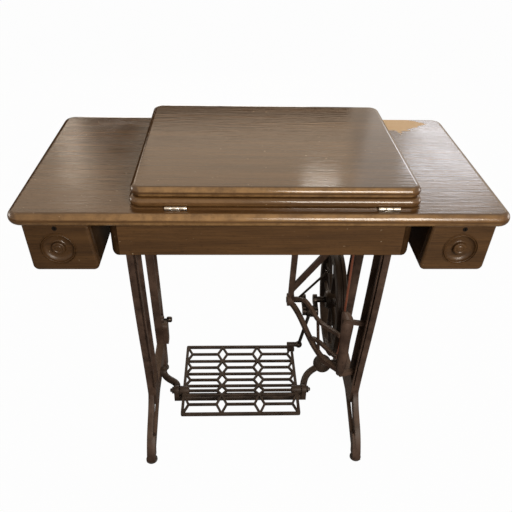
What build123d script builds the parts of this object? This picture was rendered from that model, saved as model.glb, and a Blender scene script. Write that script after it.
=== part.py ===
from build123d import *
import math
import os

# Treadle sewing machine with its lid shut. Millimetres, +X right, +Y to the back, +Z up,
# origin on the floor under the middle of the table.

# Table
TABLE_LENGTH = 910.0
TABLE_DEPTH = 480.0
TABLE_HEIGHT = 732.0
TABLE_THICK = 25.4
TABLE_CORNER = 26.0
TABLE_NOSE = 12.4
WELL_MARGIN = 10.0
WELL_CORNER = 12.0

# Boards of the well under the table
APRON_DROP = 75.0
APRON_THICK = 12.0
APRON_SETBACK = 26.5
SIDE_BOARD = 14.0
BOARD_ROUND = 14.0
BOARD_EDGE = 10.0

# Lid
LID_LENGTH = 532.0
LID_DEPTH = 431.0
LID_SHIFT_X = 25.0
LID_SHIFT_Y = -1.5
LID_BOARD = 20.3
LID_CORNER = 22.0
LID_NOSE = 9.8
LID_STEP = 3.0
LID_LIP = 3.0

# Lid hinges
HINGE_LENGTH = 40.0
HINGE_BARREL_R = 3.4
HINGE_PIN_R = 1.25
HINGE_LEAF = 1.5
HINGE_LEAF_DEPTH = 30.0
HINGE_INSET_LEFT = 85.0
HINGE_INSET_RIGHT = 62.0
HINGE_FORWARD = 2.5
HINGE_LIFT = 3.6

# Drawers
DRAWER_WIDTH = 118.2
DRAWER_HEIGHT = 102.6
DRAWER_TAPER = 0.061
DRAWER_LEAN = 0.117
DRAWER_MARGIN = 21.2
DRAWER_FRONT = 18.0
FRONT_ROUND = 6.0
DRAWER_DEPTH = 360.0
DRAWER_WALL = 6.0
CASE_WALL = 9.0
CASE_ROUND = 11.0
DRAWER_SETBACK = 15.0
DRAWER_HEADROOM = 3.0
PULL_R = 34.0
PULL_SEAT = 10.0
PULL_DROP = 54.0
LOCK_R = 4.5
LOCK_DROP = 10.0
LOCK_DEPTH = 12.0

# Side frames
FRAME_OUTER = 266.0
FRAME_THICK = 20.0
FOOT_THICK = 14.0
STRUT_THICK = 8.0
FLUTE_WIDTH = 4.0
FLUTE_DEPTH = 6.0
FRAME_FLANGE = 7.0
FRAME_WEB = 7.0
LEG_DEPTH = 52.0
REAR_LEG_DEPTH = 50.0
TOP_RAIL = 16.0
TOP_RAIL_REACH = 190.0
LOW_RAIL_Z = 104.0
LOW_RAIL_DEPTH = 44.0
GLIDE_R = 14.0
GLIDE_H = 8.0

# Flywheel, crankshaft and hanger
SHAFT_Y = 84.0
SHAFT_Z = 290.0
SHAFT_R = 8.0
WHEEL_R = 148.0
WHEEL_RIM = 24.0
WHEEL_WIDTH = 26.0
WHEEL_HUB_R = 24.0
SPOKE_COUNT = 6
SPOKE_R = 7.0
SPOKE_FORK = 0.45
BELT_X = 210.0
BELT_R = 3.0
BELT_SINK = 1.0
CRANK_R = 36.0
CRANK_X = 148.0
CRANK_ANGLE = 20.0
CRANK_PIN_R = 6.0
CRANK_PIN_LENGTH = 20.0
CRANK_WEB = 10.0
BUSH_WALL = 3.0
BUSH_LENGTH = 18.0
HANGER_X = 98.0
HANGER_BAR = 14.0
TIE_BAR_DROP = 216.0
TIE_BAR_HEIGHT = 40.0
TIE_BAR_THICK = 8.0
GUARD_WIDTH = 25.0
GUARD_THICK = 9.0
GUARD_GAP = 50.0

# Treadle
TREADLE_WIDTH = 300.0
TREADLE_DEPTH = 250.0
TREADLE_X = -34.0
TREADLE_REAR = 110.0
TREADLE_Z = 100.0
TREADLE_THICK = 7.0
TREADLE_RIM = 9.0
TREADLE_BAR = 4.6
PIVOT_Y = -55.0
PIVOT_R = 5.0
CROSS_BAR_R = 10.0
CROSS_BAR_DROP = 26.0
PITMAN_R = 4.5
BALL_R = 10.0

# Machine head, drawn upright about its hinge and then folded down
HEAD_HINGE_Y = 150.0
HEAD_HINGE_DROP = 8.0
HEAD_LEAF = 4.0
BED_LENGTH = 368.0
BED_WIDTH = 178.0
BED_RIM = 28.0
BED_TOP = 8.0
BED_WALL = 7.0
BED_GAP = 6.0
BED_RIGHT = 182.0
ARM_HEIGHT = 237.0
ARM_DEPTH = 78.0
ARM_WALL = 6.5
ARM_Y = -103.0
ARM_SHAFT_Z = 188.0
ARM_SHAFT_R = 6.0
NEEDLE_X = -125.0
NEEDLE_BAR_R = 3.6
PRESSER_BAR_R = 4.0
PRESSER_SETBACK = 16.0
HANDWHEEL_R = 64.0
HANDWHEEL_BELT_R = 42.0

# Fits
RUN_FIT = 0.06
LOOSE_FIT = 0.4
SLIDE_FIT = 0.3

# Derived places
TABLE_UNDER = TABLE_HEIGHT - TABLE_THICK
TABLE_FRONT = -TABLE_DEPTH / 2
APRON_FRONT = TABLE_FRONT + APRON_SETBACK
APRON_LOW = TABLE_UNDER - APRON_DROP
FRAME_INNER = FRAME_OUTER - FRAME_THICK
BOARD_INNER = FRAME_OUTER + SLIDE_FIT
BOARD_OUTER = BOARD_INNER + SIDE_BOARD
LID_FRONT = LID_SHIFT_Y - LID_DEPTH / 2
LID_LEFT = LID_SHIFT_X - LID_LENGTH / 2
LID_RIGHT = LID_SHIFT_X + LID_LENGTH / 2
HINGE_Y = LID_FRONT - HINGE_FORWARD
HINGE_Z = TABLE_HEIGHT + HINGE_LIFT
HINGE_CENTRES = (LID_LEFT + HINGE_INSET_LEFT, LID_RIGHT - HINGE_INSET_RIGHT)
DRAWER_X = TABLE_LENGTH / 2 - DRAWER_MARGIN - DRAWER_WIDTH / 2
DRAWER_FACE = TABLE_FRONT + DRAWER_SETBACK
CASE_FRONT = DRAWER_FACE + DRAWER_FRONT
CASE_REAR = CASE_FRONT + DRAWER_DEPTH
HEAD_HINGE_Z = TABLE_HEIGHT - HEAD_HINGE_DROP
FOLD = Pos(0, HEAD_HINGE_Y, HEAD_HINGE_Z) * Rot(90, 0, 0)
BED_LEFT = BED_RIGHT - BED_LENGTH
BED_REAR = -BED_GAP
BED_FRONT = BED_REAR - BED_WIDTH
BED_LOW = BED_TOP - BED_RIM
ARM_FRONT = ARM_Y - ARM_DEPTH / 2
ARM_REAR = ARM_Y + ARM_DEPTH / 2
ARM_LEFT = NEEDLE_X - 34.0
HANDWHEEL_Y = HEAD_HINGE_Y - ARM_SHAFT_Z
HANDWHEEL_Z = HEAD_HINGE_Z + ARM_Y
WHEEL_BELT_R = WHEEL_R - BELT_SINK
TREADLE_LEFT = TREADLE_X - TREADLE_WIDTH / 2
TREADLE_RIGHT = TREADLE_X + TREADLE_WIDTH / 2
TREADLE_FRONT = TREADLE_REAR - TREADLE_DEPTH
CRANK_PIN_Y = SHAFT_Y - CRANK_R * math.cos(math.radians(CRANK_ANGLE))
CRANK_PIN_Z = SHAFT_Z - CRANK_R * math.sin(math.radians(CRANK_ANGLE))
TIE_BAR_Z = TABLE_UNDER - TIE_BAR_DROP
WHEEL_LEFT = BELT_X - WHEEL_WIDTH / 2
WHEEL_RIGHT = BELT_X + WHEEL_WIDTH / 2
BOSS_R = SHAFT_R + BUSH_WALL + 6.0

# Centre lines of the legs in side view, as (y, z)
FRONT_LEG = [(-146, TABLE_UNDER), (-133, 560), (-110, 380), (-80, 190), (-70, LOW_RAIL_Z - 8)]
REAR_LEG = [(35, TABLE_UNDER), (54, 560), (82, 380), (106, 210), (118, 120), (126, 40), (128, -6)]
FRONT_FOOT = [(-84, 172), (-97, 117), (-128, 86), (-164, 58), (-189, 20), (-197, -6)]
FOOT_WIDTHS = (22, 22, 22, 24, 28, 30)
FOOT_STRUT = [(-186, 26), (-120, 56), (-60, 82), (10, 98)]
STRUT_WIDTH = 14.0


def block(x0, x1, y0, y1, z0, z1):
    """Box between two opposite corners."""
    return Pos((x0 + x1) / 2, (y0 + y1) / 2, (z0 + z1) / 2) * Box(x1 - x0, y1 - y0, z1 - z0)


def rod(start, end, radius):
    """Round bar between two points."""
    start, end = Vector(start), Vector(end)
    return Solid.make_cylinder(radius, (end - start).length, Plane(origin=start, z_dir=end - start))


def bar(start, end, wide, deep):
    """Rectangular bar between two points, with its wide side level."""
    start, end = Vector(start), Vector(end)
    along = end - start
    level = Vector(0, 0, 1).cross(along)
    plane = Plane(origin=start, x_dir=level, z_dir=along)
    return extrude(plane * Rectangle(wide, deep), amount=along.length)


def turned_x(profile, y=0.0, z=0.0):
    """Solid turned about a line along X; the profile is (x, radius) points."""
    face = make_face(Polyline(*[(x, 0, r) for x, r in profile], close=True))
    return Pos(0, y, z) * revolve(face, Axis.X)


def turned_z(profile, x=0.0, y=0.0, z=0.0):
    """Solid turned about an upright line; the profile is (radius, height) points."""
    face = make_face(Polyline(*[(r, 0, h) for r, h in profile], close=True))
    return Pos(x, y, z) * revolve(face, Axis.Z)


def side_plate(outline, x0, x1):
    """Plate across X whose side view is a closed outline of (y, z) points."""
    face = make_face(Polyline(*[(x0, y, z) for y, z in outline], close=True))
    return extrude(face, amount=x1 - x0, dir=(1, 0, 0))


def ribbon(centre, widths):
    """Flat face that follows points with a width at each one."""
    left, right = [], []
    for i, (x, y) in enumerate(centre):
        before = centre[max(i - 1, 0)]
        after = centre[min(i + 1, len(centre) - 1)]
        run = Vector(after[0] - before[0], after[1] - before[1]).normalized()
        left.append((x - run.Y * widths[i] / 2, y + run.X * widths[i] / 2))
        right.append((x + run.Y * widths[i] / 2, y - run.X * widths[i] / 2))
    return make_face([Spline(*left), Line(left[-1], right[-1]), Spline(*right[::-1]),
                      Line(right[0], left[0])])


def strip(centre, widths, x0, x1):
    """Curved bar in side view that follows (y, z) points."""
    return extrude(Plane.YZ.offset(x0) * ribbon(centre, widths), amount=x1 - x0)


def along_leg(leg, z):
    """Y of a leg's centre line at a height."""
    for (y0, z0), (y1, z1) in zip(leg, leg[1:]):
        if z1 <= z <= z0:
            return y0 + (y1 - y0) * (z - z0) / (z1 - z0)
    return leg[0][0]


def nosed_board(length, depth, thick, corner, nose):
    """Flat board with round plan corners and a bullnose edge, standing on Z 0."""
    board = extrude(RectangleRounded(length, depth, corner), amount=thick)
    rim = board.faces().sort_by(Axis.Z)[0].edges() + board.faces().sort_by(Axis.Z)[-1].edges()
    return fillet(rim, nose)


def mirrored(shape):
    """The same piece on the left side."""
    return mirror(shape, about=Plane.YZ)


# Table and well

def well_box(margin):
    """Plan limits of the table opening: left, right, front, rear."""
    reach = math.hypot(ARM_HEIGHT, ARM_FRONT)
    rear = HEAD_HINGE_Y - BED_LOW + HEAD_LEAF + LOOSE_FIT
    return (BED_LEFT - margin, FRAME_INNER - SLIDE_FIT, HEAD_HINGE_Y - reach - margin, rear)


def hinge_mortise(x, depth_below):
    """Shallow pocket for the table leaf of a lid hinge."""
    half = HINGE_LENGTH / 2 + SLIDE_FIT
    front = HINGE_Y - HINGE_BARREL_R
    rear = HINGE_Y + HINGE_LEAF_DEPTH + SLIDE_FIT
    return block(x - half, x + half, front, rear, TABLE_HEIGHT - depth_below, TABLE_HEIGHT + 1)


def tabletop():
    top = Pos(0, 0, TABLE_UNDER) * nosed_board(TABLE_LENGTH, TABLE_DEPTH, TABLE_THICK, TABLE_CORNER,
                                               TABLE_NOSE)
    left, right, front, rear = well_box(WELL_MARGIN)
    opening = extrude(RectangleRounded(right - left, rear - front, WELL_CORNER), amount=TABLE_THICK + 2)
    top -= Pos((left + right) / 2, (front + rear) / 2, TABLE_UNDER - 1) * opening
    for x in HINGE_CENTRES:
        top -= hinge_mortise(x, HINGE_LEAF + 0.1)
    for x, y in frame_screw_places():
        top -= rod((x, y, TABLE_UNDER - 1), (x, y, TABLE_UNDER + SCREW_BITE + 0.5), SCREW_R + RUN_FIT)
    return top


def board_shell():
    """Space with round lower corners and round upright edges that the boards of the well fill."""
    tall = 2 * APRON_DROP
    section = Plane.XZ * RectangleRounded(2 * BOARD_OUTER, tall, BOARD_ROUND)
    shell = Pos(0, 0, APRON_LOW + tall / 2) * extrude(section, amount=-APRON_FRONT, both=True)
    plan = extrude(RectangleRounded(2 * BOARD_OUTER, -2 * APRON_FRONT, BOARD_EDGE), amount=TABLE_UNDER)
    return shell & plan


def apron():
    board = block(-BOARD_INNER, BOARD_INNER, APRON_FRONT, APRON_FRONT + APRON_THICK, APRON_LOW, TABLE_UNDER)
    return board & board_shell()


def back_board():
    return mirror(apron(), about=Plane.XZ)


def side_board():
    return block(BOARD_INNER, BOARD_OUTER, APRON_FRONT, -APRON_FRONT, APRON_LOW,
                 TABLE_UNDER) & board_shell()


# Lid and its hinges

def lid_lower_board():
    """Board with a thin lip along its foot under the bullnose."""
    nose = min(LID_NOSE, (LID_BOARD - LID_LIP) / 2 - 0.2)
    board = Pos(0, 0, LID_LIP) * nosed_board(LID_LENGTH, LID_DEPTH, LID_BOARD - LID_LIP, LID_CORNER, nose)
    board += extrude(RectangleRounded(LID_LENGTH, LID_DEPTH, LID_CORNER), amount=LID_LIP)
    board = Pos(LID_SHIFT_X, LID_SHIFT_Y, TABLE_HEIGHT) * board
    half = HINGE_LENGTH / 2 + SLIDE_FIT
    rear = HINGE_Y + HINGE_LEAF_DEPTH + SLIDE_FIT
    for x in HINGE_CENTRES:
        pocket = HINGE_LIFT - HINGE_BARREL_R + HINGE_LEAF + 0.1
        board -= block(x - half, x + half, HINGE_Y, rear, TABLE_HEIGHT - 1, TABLE_HEIGHT + pocket)
        board -= rod((x - half, HINGE_Y, HINGE_Z), (x + half, HINGE_Y, HINGE_Z), HINGE_BARREL_R + LOOSE_FIT)
    return board


def lid_upper_board():
    board = nosed_board(LID_LENGTH - 2 * LID_STEP, LID_DEPTH - 2 * LID_STEP, LID_BOARD, LID_CORNER,
                        LID_NOSE)
    return Pos(LID_SHIFT_X, LID_SHIFT_Y, TABLE_HEIGHT + LID_BOARD) * board


def knuckle(x0, x1):
    """Hollow barrel of a lid hinge."""
    outer = rod((x0, HINGE_Y, HINGE_Z), (x1, HINGE_Y, HINGE_Z), HINGE_BARREL_R)
    return outer - rod((x0 - 1, HINGE_Y, HINGE_Z), (x1 + 1, HINGE_Y, HINGE_Z), HINGE_PIN_R + RUN_FIT)


def knuckle_spans(x):
    """Three barrel lengths side by side on one hinge, with a small gap between them."""
    left = x - HINGE_LENGTH / 2
    step = HINGE_LENGTH / 3
    return [(left + i * step + SLIDE_FIT / 2, left + (i + 1) * step - SLIDE_FIT / 2) for i in range(3)]


def hinge_table_leaves():
    leaves = []
    for x in HINGE_CENTRES:
        spans = knuckle_spans(x)
        leaf = block(spans[0][0], spans[2][1], HINGE_Y - 2, HINGE_Y + HINGE_LEAF_DEPTH,
                     TABLE_HEIGHT - HINGE_LEAF, TABLE_HEIGHT)
        for x0, x1 in (spans[0], spans[2]):
            stem = block(x0, x1, HINGE_Y - 2, HINGE_Y + 2, TABLE_HEIGHT - 0.5, HINGE_Z - HINGE_PIN_R - 0.5)
            leaf = leaf + stem + knuckle(x0, x1)
        leaves.append(leaf)
    return Compound(children=[part for leaf in leaves for part in leaf.solids()])


def hinge_lid_leaves():
    low = HINGE_Z - HINGE_BARREL_R
    leaves = []
    for x in HINGE_CENTRES:
        spans = knuckle_spans(x)
        wide_from = HINGE_Y + HINGE_BARREL_R + 1.2
        plate = block(spans[0][0], spans[2][1], wide_from, HINGE_Y + HINGE_LEAF_DEPTH, low,
                      low + HINGE_LEAF)
        neck = block(*spans[1], HINGE_Y, wide_from + 1, low, low + HINGE_LEAF)
        leaf = plate + neck + knuckle(*spans[1])
        leaf -= rod((x - HINGE_LENGTH, HINGE_Y, HINGE_Z), (x + HINGE_LENGTH, HINGE_Y, HINGE_Z),
                    HINGE_PIN_R + RUN_FIT)
        leaves.append(leaf)
    return Compound(children=[part for leaf in leaves for part in leaf.solids()])


def hinge_pins():
    half = HINGE_LENGTH / 2
    return Compound(children=[rod((x - half, HINGE_Y, HINGE_Z), (x + half, HINGE_Y, HINGE_Z), HINGE_PIN_R)
                              for x in HINGE_CENTRES])


# Drawers, drawn on the right side

def drawer_section(inset, height, y0, y1, corner, top_gap=0.0):
    """Drawer body between two depths, its sides leaning to the knees; inset shrinks sides and floor."""
    top = TABLE_UNDER - top_gap
    low = TABLE_UNDER - height + inset
    inner = DRAWER_X - DRAWER_WIDTH / 2 + inset
    outer = DRAWER_X + DRAWER_WIDTH / 2 - inset
    outline = Polyline((inner - DRAWER_LEAN * top_gap, y0, top), (outer - DRAWER_TAPER * top_gap, y0, top),
                       (outer - DRAWER_TAPER * (TABLE_UNDER - low), y0, low),
                       (inner - DRAWER_LEAN * (TABLE_UNDER - low), y0, low), close=True)
    body = extrude(make_face(outline), amount=y1 - y0, dir=(0, 1, 0))
    if corner > 0:
        body = fillet(body.edges().filter_by(Axis.Y).sort_by(Axis.Z)[:2], corner)
    return body


def drawer_case():
    shell = drawer_section(0, DRAWER_HEIGHT, CASE_FRONT, CASE_REAR, CASE_ROUND)
    return shell - drawer_section(CASE_WALL, DRAWER_HEIGHT, CASE_FRONT - 1, CASE_REAR - CASE_WALL, 0)


def drawer_box():
    inset = CASE_WALL + SLIDE_FIT
    rear = CASE_REAR - CASE_WALL - 2 * SLIDE_FIT
    outer = drawer_section(inset, DRAWER_HEIGHT, CASE_FRONT, rear, 0, DRAWER_HEADROOM)
    hollow = drawer_section(inset + DRAWER_WALL, DRAWER_HEIGHT, CASE_FRONT + DRAWER_WALL,
                            rear - DRAWER_WALL, 0)
    return outer - hollow


def drawer_front():
    slab = drawer_section(0, DRAWER_HEIGHT, DRAWER_FACE, CASE_FRONT - SLIDE_FIT, CASE_ROUND, SLIDE_FIT)
    tongue = drawer_section(CASE_WALL + DRAWER_WALL, DRAWER_HEIGHT, CASE_FRONT - 1, CASE_FRONT, 0,
                            DRAWER_HEADROOM)
    slab = fillet(slab.faces().sort_by(Axis.Y)[0].edges(), FRONT_ROUND)
    z = lock_height()
    bore = rod((DRAWER_X, DRAWER_FACE - 1, z), (DRAWER_X, DRAWER_FACE + LOCK_DEPTH, z), LOCK_R + RUN_FIT)
    z = TABLE_UNDER - PULL_DROP
    seat = rod((DRAWER_X, DRAWER_FACE - 1, z), (DRAWER_X, DRAWER_FACE + PULL_SEAT, z), PULL_R + RUN_FIT)
    return slab + tongue - bore - seat


def lock_height():
    return TABLE_UNDER - LOCK_DROP


def drawer_pull():
    """Turned cup pull let into the front: two thin beads, a dished ring and a button for the fingers."""
    turns = [(0, 1.08), (0.16, 1.05), (0.2, 0.96), (0.24, 1.06), (0.32, 1.04), (0.36, 0.9), (0.37, 0.35),
             (0.42, 0.22), (0.55, 0.2), (0.7, 0.32), (0.8, 0.58), (0.845, 0.82), (0.86, 1.03), (0.885, 1.07),
             (0.91, 0.98), (0.925, 0.8), (0.94, 0.98), (0.955, 1.14), (0.985, 1.14), (1.0, 1.02), (1.0, 0),
             (0, 0)]
    cup = turned_z([(PULL_R * r, PULL_SEAT * h) for r, h in turns])
    return Pos(DRAWER_X, DRAWER_FACE + PULL_SEAT, TABLE_UNDER - PULL_DROP) * Rot(90, 0, 0) * cup


def drawer_lock():
    """Cylinder lock with a keyhole, flush in the drawer front."""
    z = lock_height()
    barrel = rod((DRAWER_X, DRAWER_FACE - 0.8, z), (DRAWER_X, DRAWER_FACE + LOCK_DEPTH, z), LOCK_R)
    barrel -= rod((DRAWER_X, DRAWER_FACE - 2, z + 1.2), (DRAWER_X, DRAWER_FACE + 6, z + 1.2), 1.5)
    return barrel - block(DRAWER_X - 0.7, DRAWER_X + 0.7, DRAWER_FACE - 2, DRAWER_FACE + 6, z - 3.5,
                          z + 1.2)


# Side frames, drawn on the right side

SCREW_R = 2.5
SCREW_BITE = 14.0
SCREW_HEAD_R = 5.0
SCREW_HEAD = 3.0


def frame_screw_places():
    """Plan places of the screws that hold both frames to the table."""
    x = FRAME_INNER + FRAME_THICK / 2
    front = along_leg(FRONT_LEG, TABLE_UNDER - TOP_RAIL) - LEG_DEPTH / 2 - SCREW_HEAD_R - 4
    return [(side * x, y) for side in (-1, 1) for y in (front, -40, 95, TOP_RAIL_REACH - 14)]


def leg_recess(leg, depth, z_high, z_low):
    """Hollow of the channel section between two heights of a leg."""
    heights = [z_high + (z_low - z_high) * i / 3 for i in range(4)]
    centre = [(along_leg(leg, z), z) for z in heights]
    return strip(centre, [depth - 2 * FRAME_FLANGE] * 4, FRAME_INNER - 1, FRAME_OUTER - FRAME_WEB)


def leg_flute(leg, depth, z_high, z_low):
    """Groove down the front of a leg, between its outer bead and an inner rib."""
    heights = [z_high + (z_low - z_high) * i / 5 for i in range(6)]
    centre = [(along_leg(leg, z) - depth / 2, z) for z in heights]
    right = FRAME_OUTER - FOOT_THICK
    return strip(centre, [2 * FLUTE_DEPTH] * 6, right - FLUTE_WIDTH, right)


def side_frame(side):
    """Cast frame, drawn on the right; the side picks its bolt holes."""
    x0, x1 = FRAME_INNER, FRAME_OUTER
    frame = block(x0, x1, -TOP_RAIL_REACH, TOP_RAIL_REACH, TABLE_UNDER - TOP_RAIL, TABLE_UNDER)
    frame += strip(FRONT_LEG, [LEG_DEPTH] * len(FRONT_LEG), x0, x1)
    frame += strip(REAR_LEG, [REAR_LEG_DEPTH] * 4 + [46, 42, 40], x0, x1)
    frame += strip(FRONT_FOOT, FOOT_WIDTHS, x1 - FOOT_THICK, x1)
    frame += strip(FRONT_FOOT[-3:], [18] + list(FOOT_WIDTHS[-2:]), x0, x1)
    frame += strip(FOOT_STRUT, [STRUT_WIDTH] * len(FOOT_STRUT), x0, x0 + STRUT_THICK)
    frame += strip([(-80, LOW_RAIL_Z), (20, LOW_RAIL_Z), (120, LOW_RAIL_Z)], [LOW_RAIL_DEPTH] * 3, x0, x1)
    brace_top = TABLE_UNDER - TOP_RAIL / 2
    frame += strip([(58, 560), (94, 634), (146, brace_top)], [18, 18, 18], x0, x1)
    frame -= block(x0 - 1, x1 + 1, -300, 300, -60, GLIDE_H)
    frame -= block(x0 - 1, x1 + 1, -300, 300, TABLE_UNDER, TABLE_UNDER + 60)
    frame -= leg_recess(FRONT_LEG, LEG_DEPTH, TABLE_UNDER - 30, 166)
    frame -= leg_flute(FRONT_LEG, LEG_DEPTH, TABLE_UNDER - TOP_RAIL - 6, 158)
    for z_high, z_low in ((TABLE_UNDER - 30, TIE_BAR_Z + 34), (TIE_BAR_Z - 34, SHAFT_Z + 34),
                          (SHAFT_Z - 34, 70)):
        frame -= leg_recess(REAR_LEG, REAR_LEG_DEPTH, z_high, z_low)
    for x, y in frame_screw_places()[4:]:
        frame -= rod((x, y, TABLE_UNDER - TOP_RAIL - 1), (x, y, TABLE_UNDER + 1), SCREW_R + SLIDE_FIT)
    mid = FRAME_OUTER - FRAME_THICK / 2
    for y in foot_places():
        frame -= rod((mid, y, 0), (mid, y, GLIDE_H + 10), 3 + RUN_FIT)
    for tip, end, y, z in frame_bolts_along_x():
        if end * side > 0:
            frame -= rod((abs(tip), y, z), (abs(end), y, z), BOLT_R + RUN_FIT)
    return frame


def foot_places():
    """Y of the front and rear foot glides."""
    return (FRONT_FOOT[-1][0] + 3, REAR_LEG[-1][0] - 1)


def frame_right():
    """Right frame with the boss that carries the end of the crankshaft."""
    frame = side_frame(1)
    frame += rod((WHEEL_RIGHT + 12, SHAFT_Y, SHAFT_Z), (FRAME_INNER + 10, SHAFT_Y, SHAFT_Z), BOSS_R)
    frame -= rod((WHEEL_RIGHT, SHAFT_Y, SHAFT_Z), (FRAME_INNER + 4, SHAFT_Y, SHAFT_Z),
                 SHAFT_R + BUSH_WALL + RUN_FIT)
    return frame


KNOB_Z = 206.0
KNOB_Y = 104.0
PAD_Z = 152.0
PAD_HEIGHT = 72.0


def frame_left():
    """Left frame with a cast pad and the boss of the knob on its rear leg."""
    root = -FRAME_OUTER + FRAME_WEB / 2
    pad_y = along_leg(REAR_LEG, PAD_Z)
    pad = block(root, -FRAME_INNER + 12, pad_y - 15, pad_y + 15, PAD_Z - PAD_HEIGHT / 2,
                PAD_Z + PAD_HEIGHT / 2)
    frame = mirrored(side_frame(-1)) + fillet(pad.edges().filter_by(Axis.X), 9)
    frame += rod((root, KNOB_Y, KNOB_Z), (-FRAME_INNER + 4, KNOB_Y, KNOB_Z), 10)
    return frame - rod((-FRAME_INNER - 8, KNOB_Y, KNOB_Z), (-FRAME_INNER + 20, KNOB_Y, KNOB_Z), 3 + RUN_FIT)


def lock_knob():
    """Round knob screwed into the left frame."""
    x = -FRAME_INNER - 8
    return turned_x([(x, 0), (x, 3), (x + 20, 3), (x + 20, 6.5), (x + 23, 8), (x + 31, 8), (x + 34, 6),
                     (x + 34, 0)],
                    KNOB_Y, KNOB_Z)


def foot_glides():
    glide = turned_z([(0, 0), (GLIDE_R - 2, 0), (GLIDE_R, 2), (GLIDE_R, 5), (GLIDE_R - 4, GLIDE_H),
                      (3, GLIDE_H), (3, GLIDE_H + 9), (0, GLIDE_H + 9)])
    x = FRAME_OUTER - FRAME_THICK / 2
    return Compound(children=[Pos(side * x, y, 0) * glide for side in (-1, 1) for y in foot_places()])


def frame_screws():
    head = TABLE_UNDER - TOP_RAIL
    screws = []
    for x, y in frame_screw_places():
        shank = rod((x, y, head - 0.5), (x, y, TABLE_UNDER + SCREW_BITE), SCREW_R)
        screws.append(shank + rod((x, y, head - SCREW_HEAD), (x, y, head), SCREW_HEAD_R))
    return Compound(children=[part for screw in screws for part in screw.solids()])


# Tie bar, cross bar and treadle

BOLT_R = 4.0
BOLT_HEAD_R = 7.5
BOLT_HEAD = 5.0


def tie_bar_y():
    return along_leg(REAR_LEG, TIE_BAR_Z) - 28.0


def tie_bar():
    """Flat bar between the rear legs with its ends bent to lie on the frames."""
    y = tie_bar_y()
    half = TIE_BAR_HEIGHT / 2
    web = block(-FRAME_INNER, FRAME_INNER, y, y + TIE_BAR_THICK, TIE_BAR_Z - half, TIE_BAR_Z + half)
    for side in (-1, 1):
        foot = block(FRAME_INNER - TIE_BAR_THICK, FRAME_INNER, y, y + 34, TIE_BAR_Z - half,
                     TIE_BAR_Z + half)
        web += foot if side > 0 else mirrored(foot)
    for x0, x1, yy, z in frame_bolts_along_x()[:2]:
        web -= rod((x0, yy, z), (x1, yy, z), BOLT_R + SLIDE_FIT)
    hole_y = y + TIE_BAR_THICK / 2
    web -= rod((HANGER_X, hole_y - 9, TIE_BAR_Z), (HANGER_X, hole_y + 9, TIE_BAR_Z), BOLT_R + SLIDE_FIT)
    return web


def frame_bolts_along_x():
    """Bolts through the side frames: from x, to x, y, z; the tie bar's two come first."""
    y = tie_bar_y() + 22
    tip = FRAME_INNER - TIE_BAR_THICK - 2
    places = [(side * tip, side * (FRAME_OUTER + 1), y, TIE_BAR_Z) for side in (-1, 1)]
    cross = [(side * (FRAME_INNER - 8), side * (FRAME_OUTER + 1), cross_bar_rear(side), LOW_RAIL_Z)
             for side in (-1, 1)]
    return places + cross


def frame_bolts():
    """Hex bolts that hold the tie bar, the cross bar and the hanger."""
    bolts = []
    for x0, x1, y, z in frame_bolts_along_x():
        side = 1 if x1 > 0 else -1
        face = side * FRAME_OUTER
        shank = rod((x0, y, z), (face, y, z), BOLT_R)
        head = extrude(Plane(origin=(face, y, z), z_dir=(side, 0, 0)) * RegularPolygon(BOLT_HEAD_R, 6),
                       amount=BOLT_HEAD)
        bolts.append(shank + head)
    y = tie_bar_y()
    shank = rod((HANGER_X, y, TIE_BAR_Z), (HANGER_X, y + TIE_BAR_THICK + HANGER_BAR, TIE_BAR_Z), BOLT_R)
    head = extrude(Plane(origin=(HANGER_X, y, TIE_BAR_Z), z_dir=(0, -1, 0)) * RegularPolygon(BOLT_HEAD_R,
                                                                                             6),
                   amount=BOLT_HEAD)
    bolts.append(shank + head)
    return Compound(children=[part for bolt in bolts for part in bolt.solids()])


# Bends of the cross bar's arms, outward and back from the ear
ARM_BENDS = {-1: ((4, 27), (16, 38), (32, 52)), 1: ((5, 33), (13, 53), (32, 75))}
ARM_R = 9.0
DOME_R = 25.0


def cross_bar_rear(side):
    """Y where an arm of the cross bar meets its frame."""
    return PIVOT_Y + (63.0 if side < 0 else 95.0)


def cross_bar_arm(side):
    """Gooseneck from an ear back to the pad on the frame."""
    x, z = ear_x(side), TREADLE_Z - 4
    points = [Vector(x + side, PIVOT_Y + 16, z)]
    points += [Vector(x + side * out, PIVOT_Y + back, z) for out, back in ARM_BENDS[side]]
    rear = cross_bar_rear(side)
    points.append(Vector(side * (FRAME_INNER - 6), rear, LOW_RAIL_Z))
    path = Spline(*points)
    arm = sweep(Plane(origin=points[0], z_dir=path % 0) * Circle(ARM_R), path=path)
    return arm + rod((side * (FRAME_INNER - 14), rear, LOW_RAIL_Z), (side * FRAME_INNER, rear, LOW_RAIL_Z),
                     13)


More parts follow.
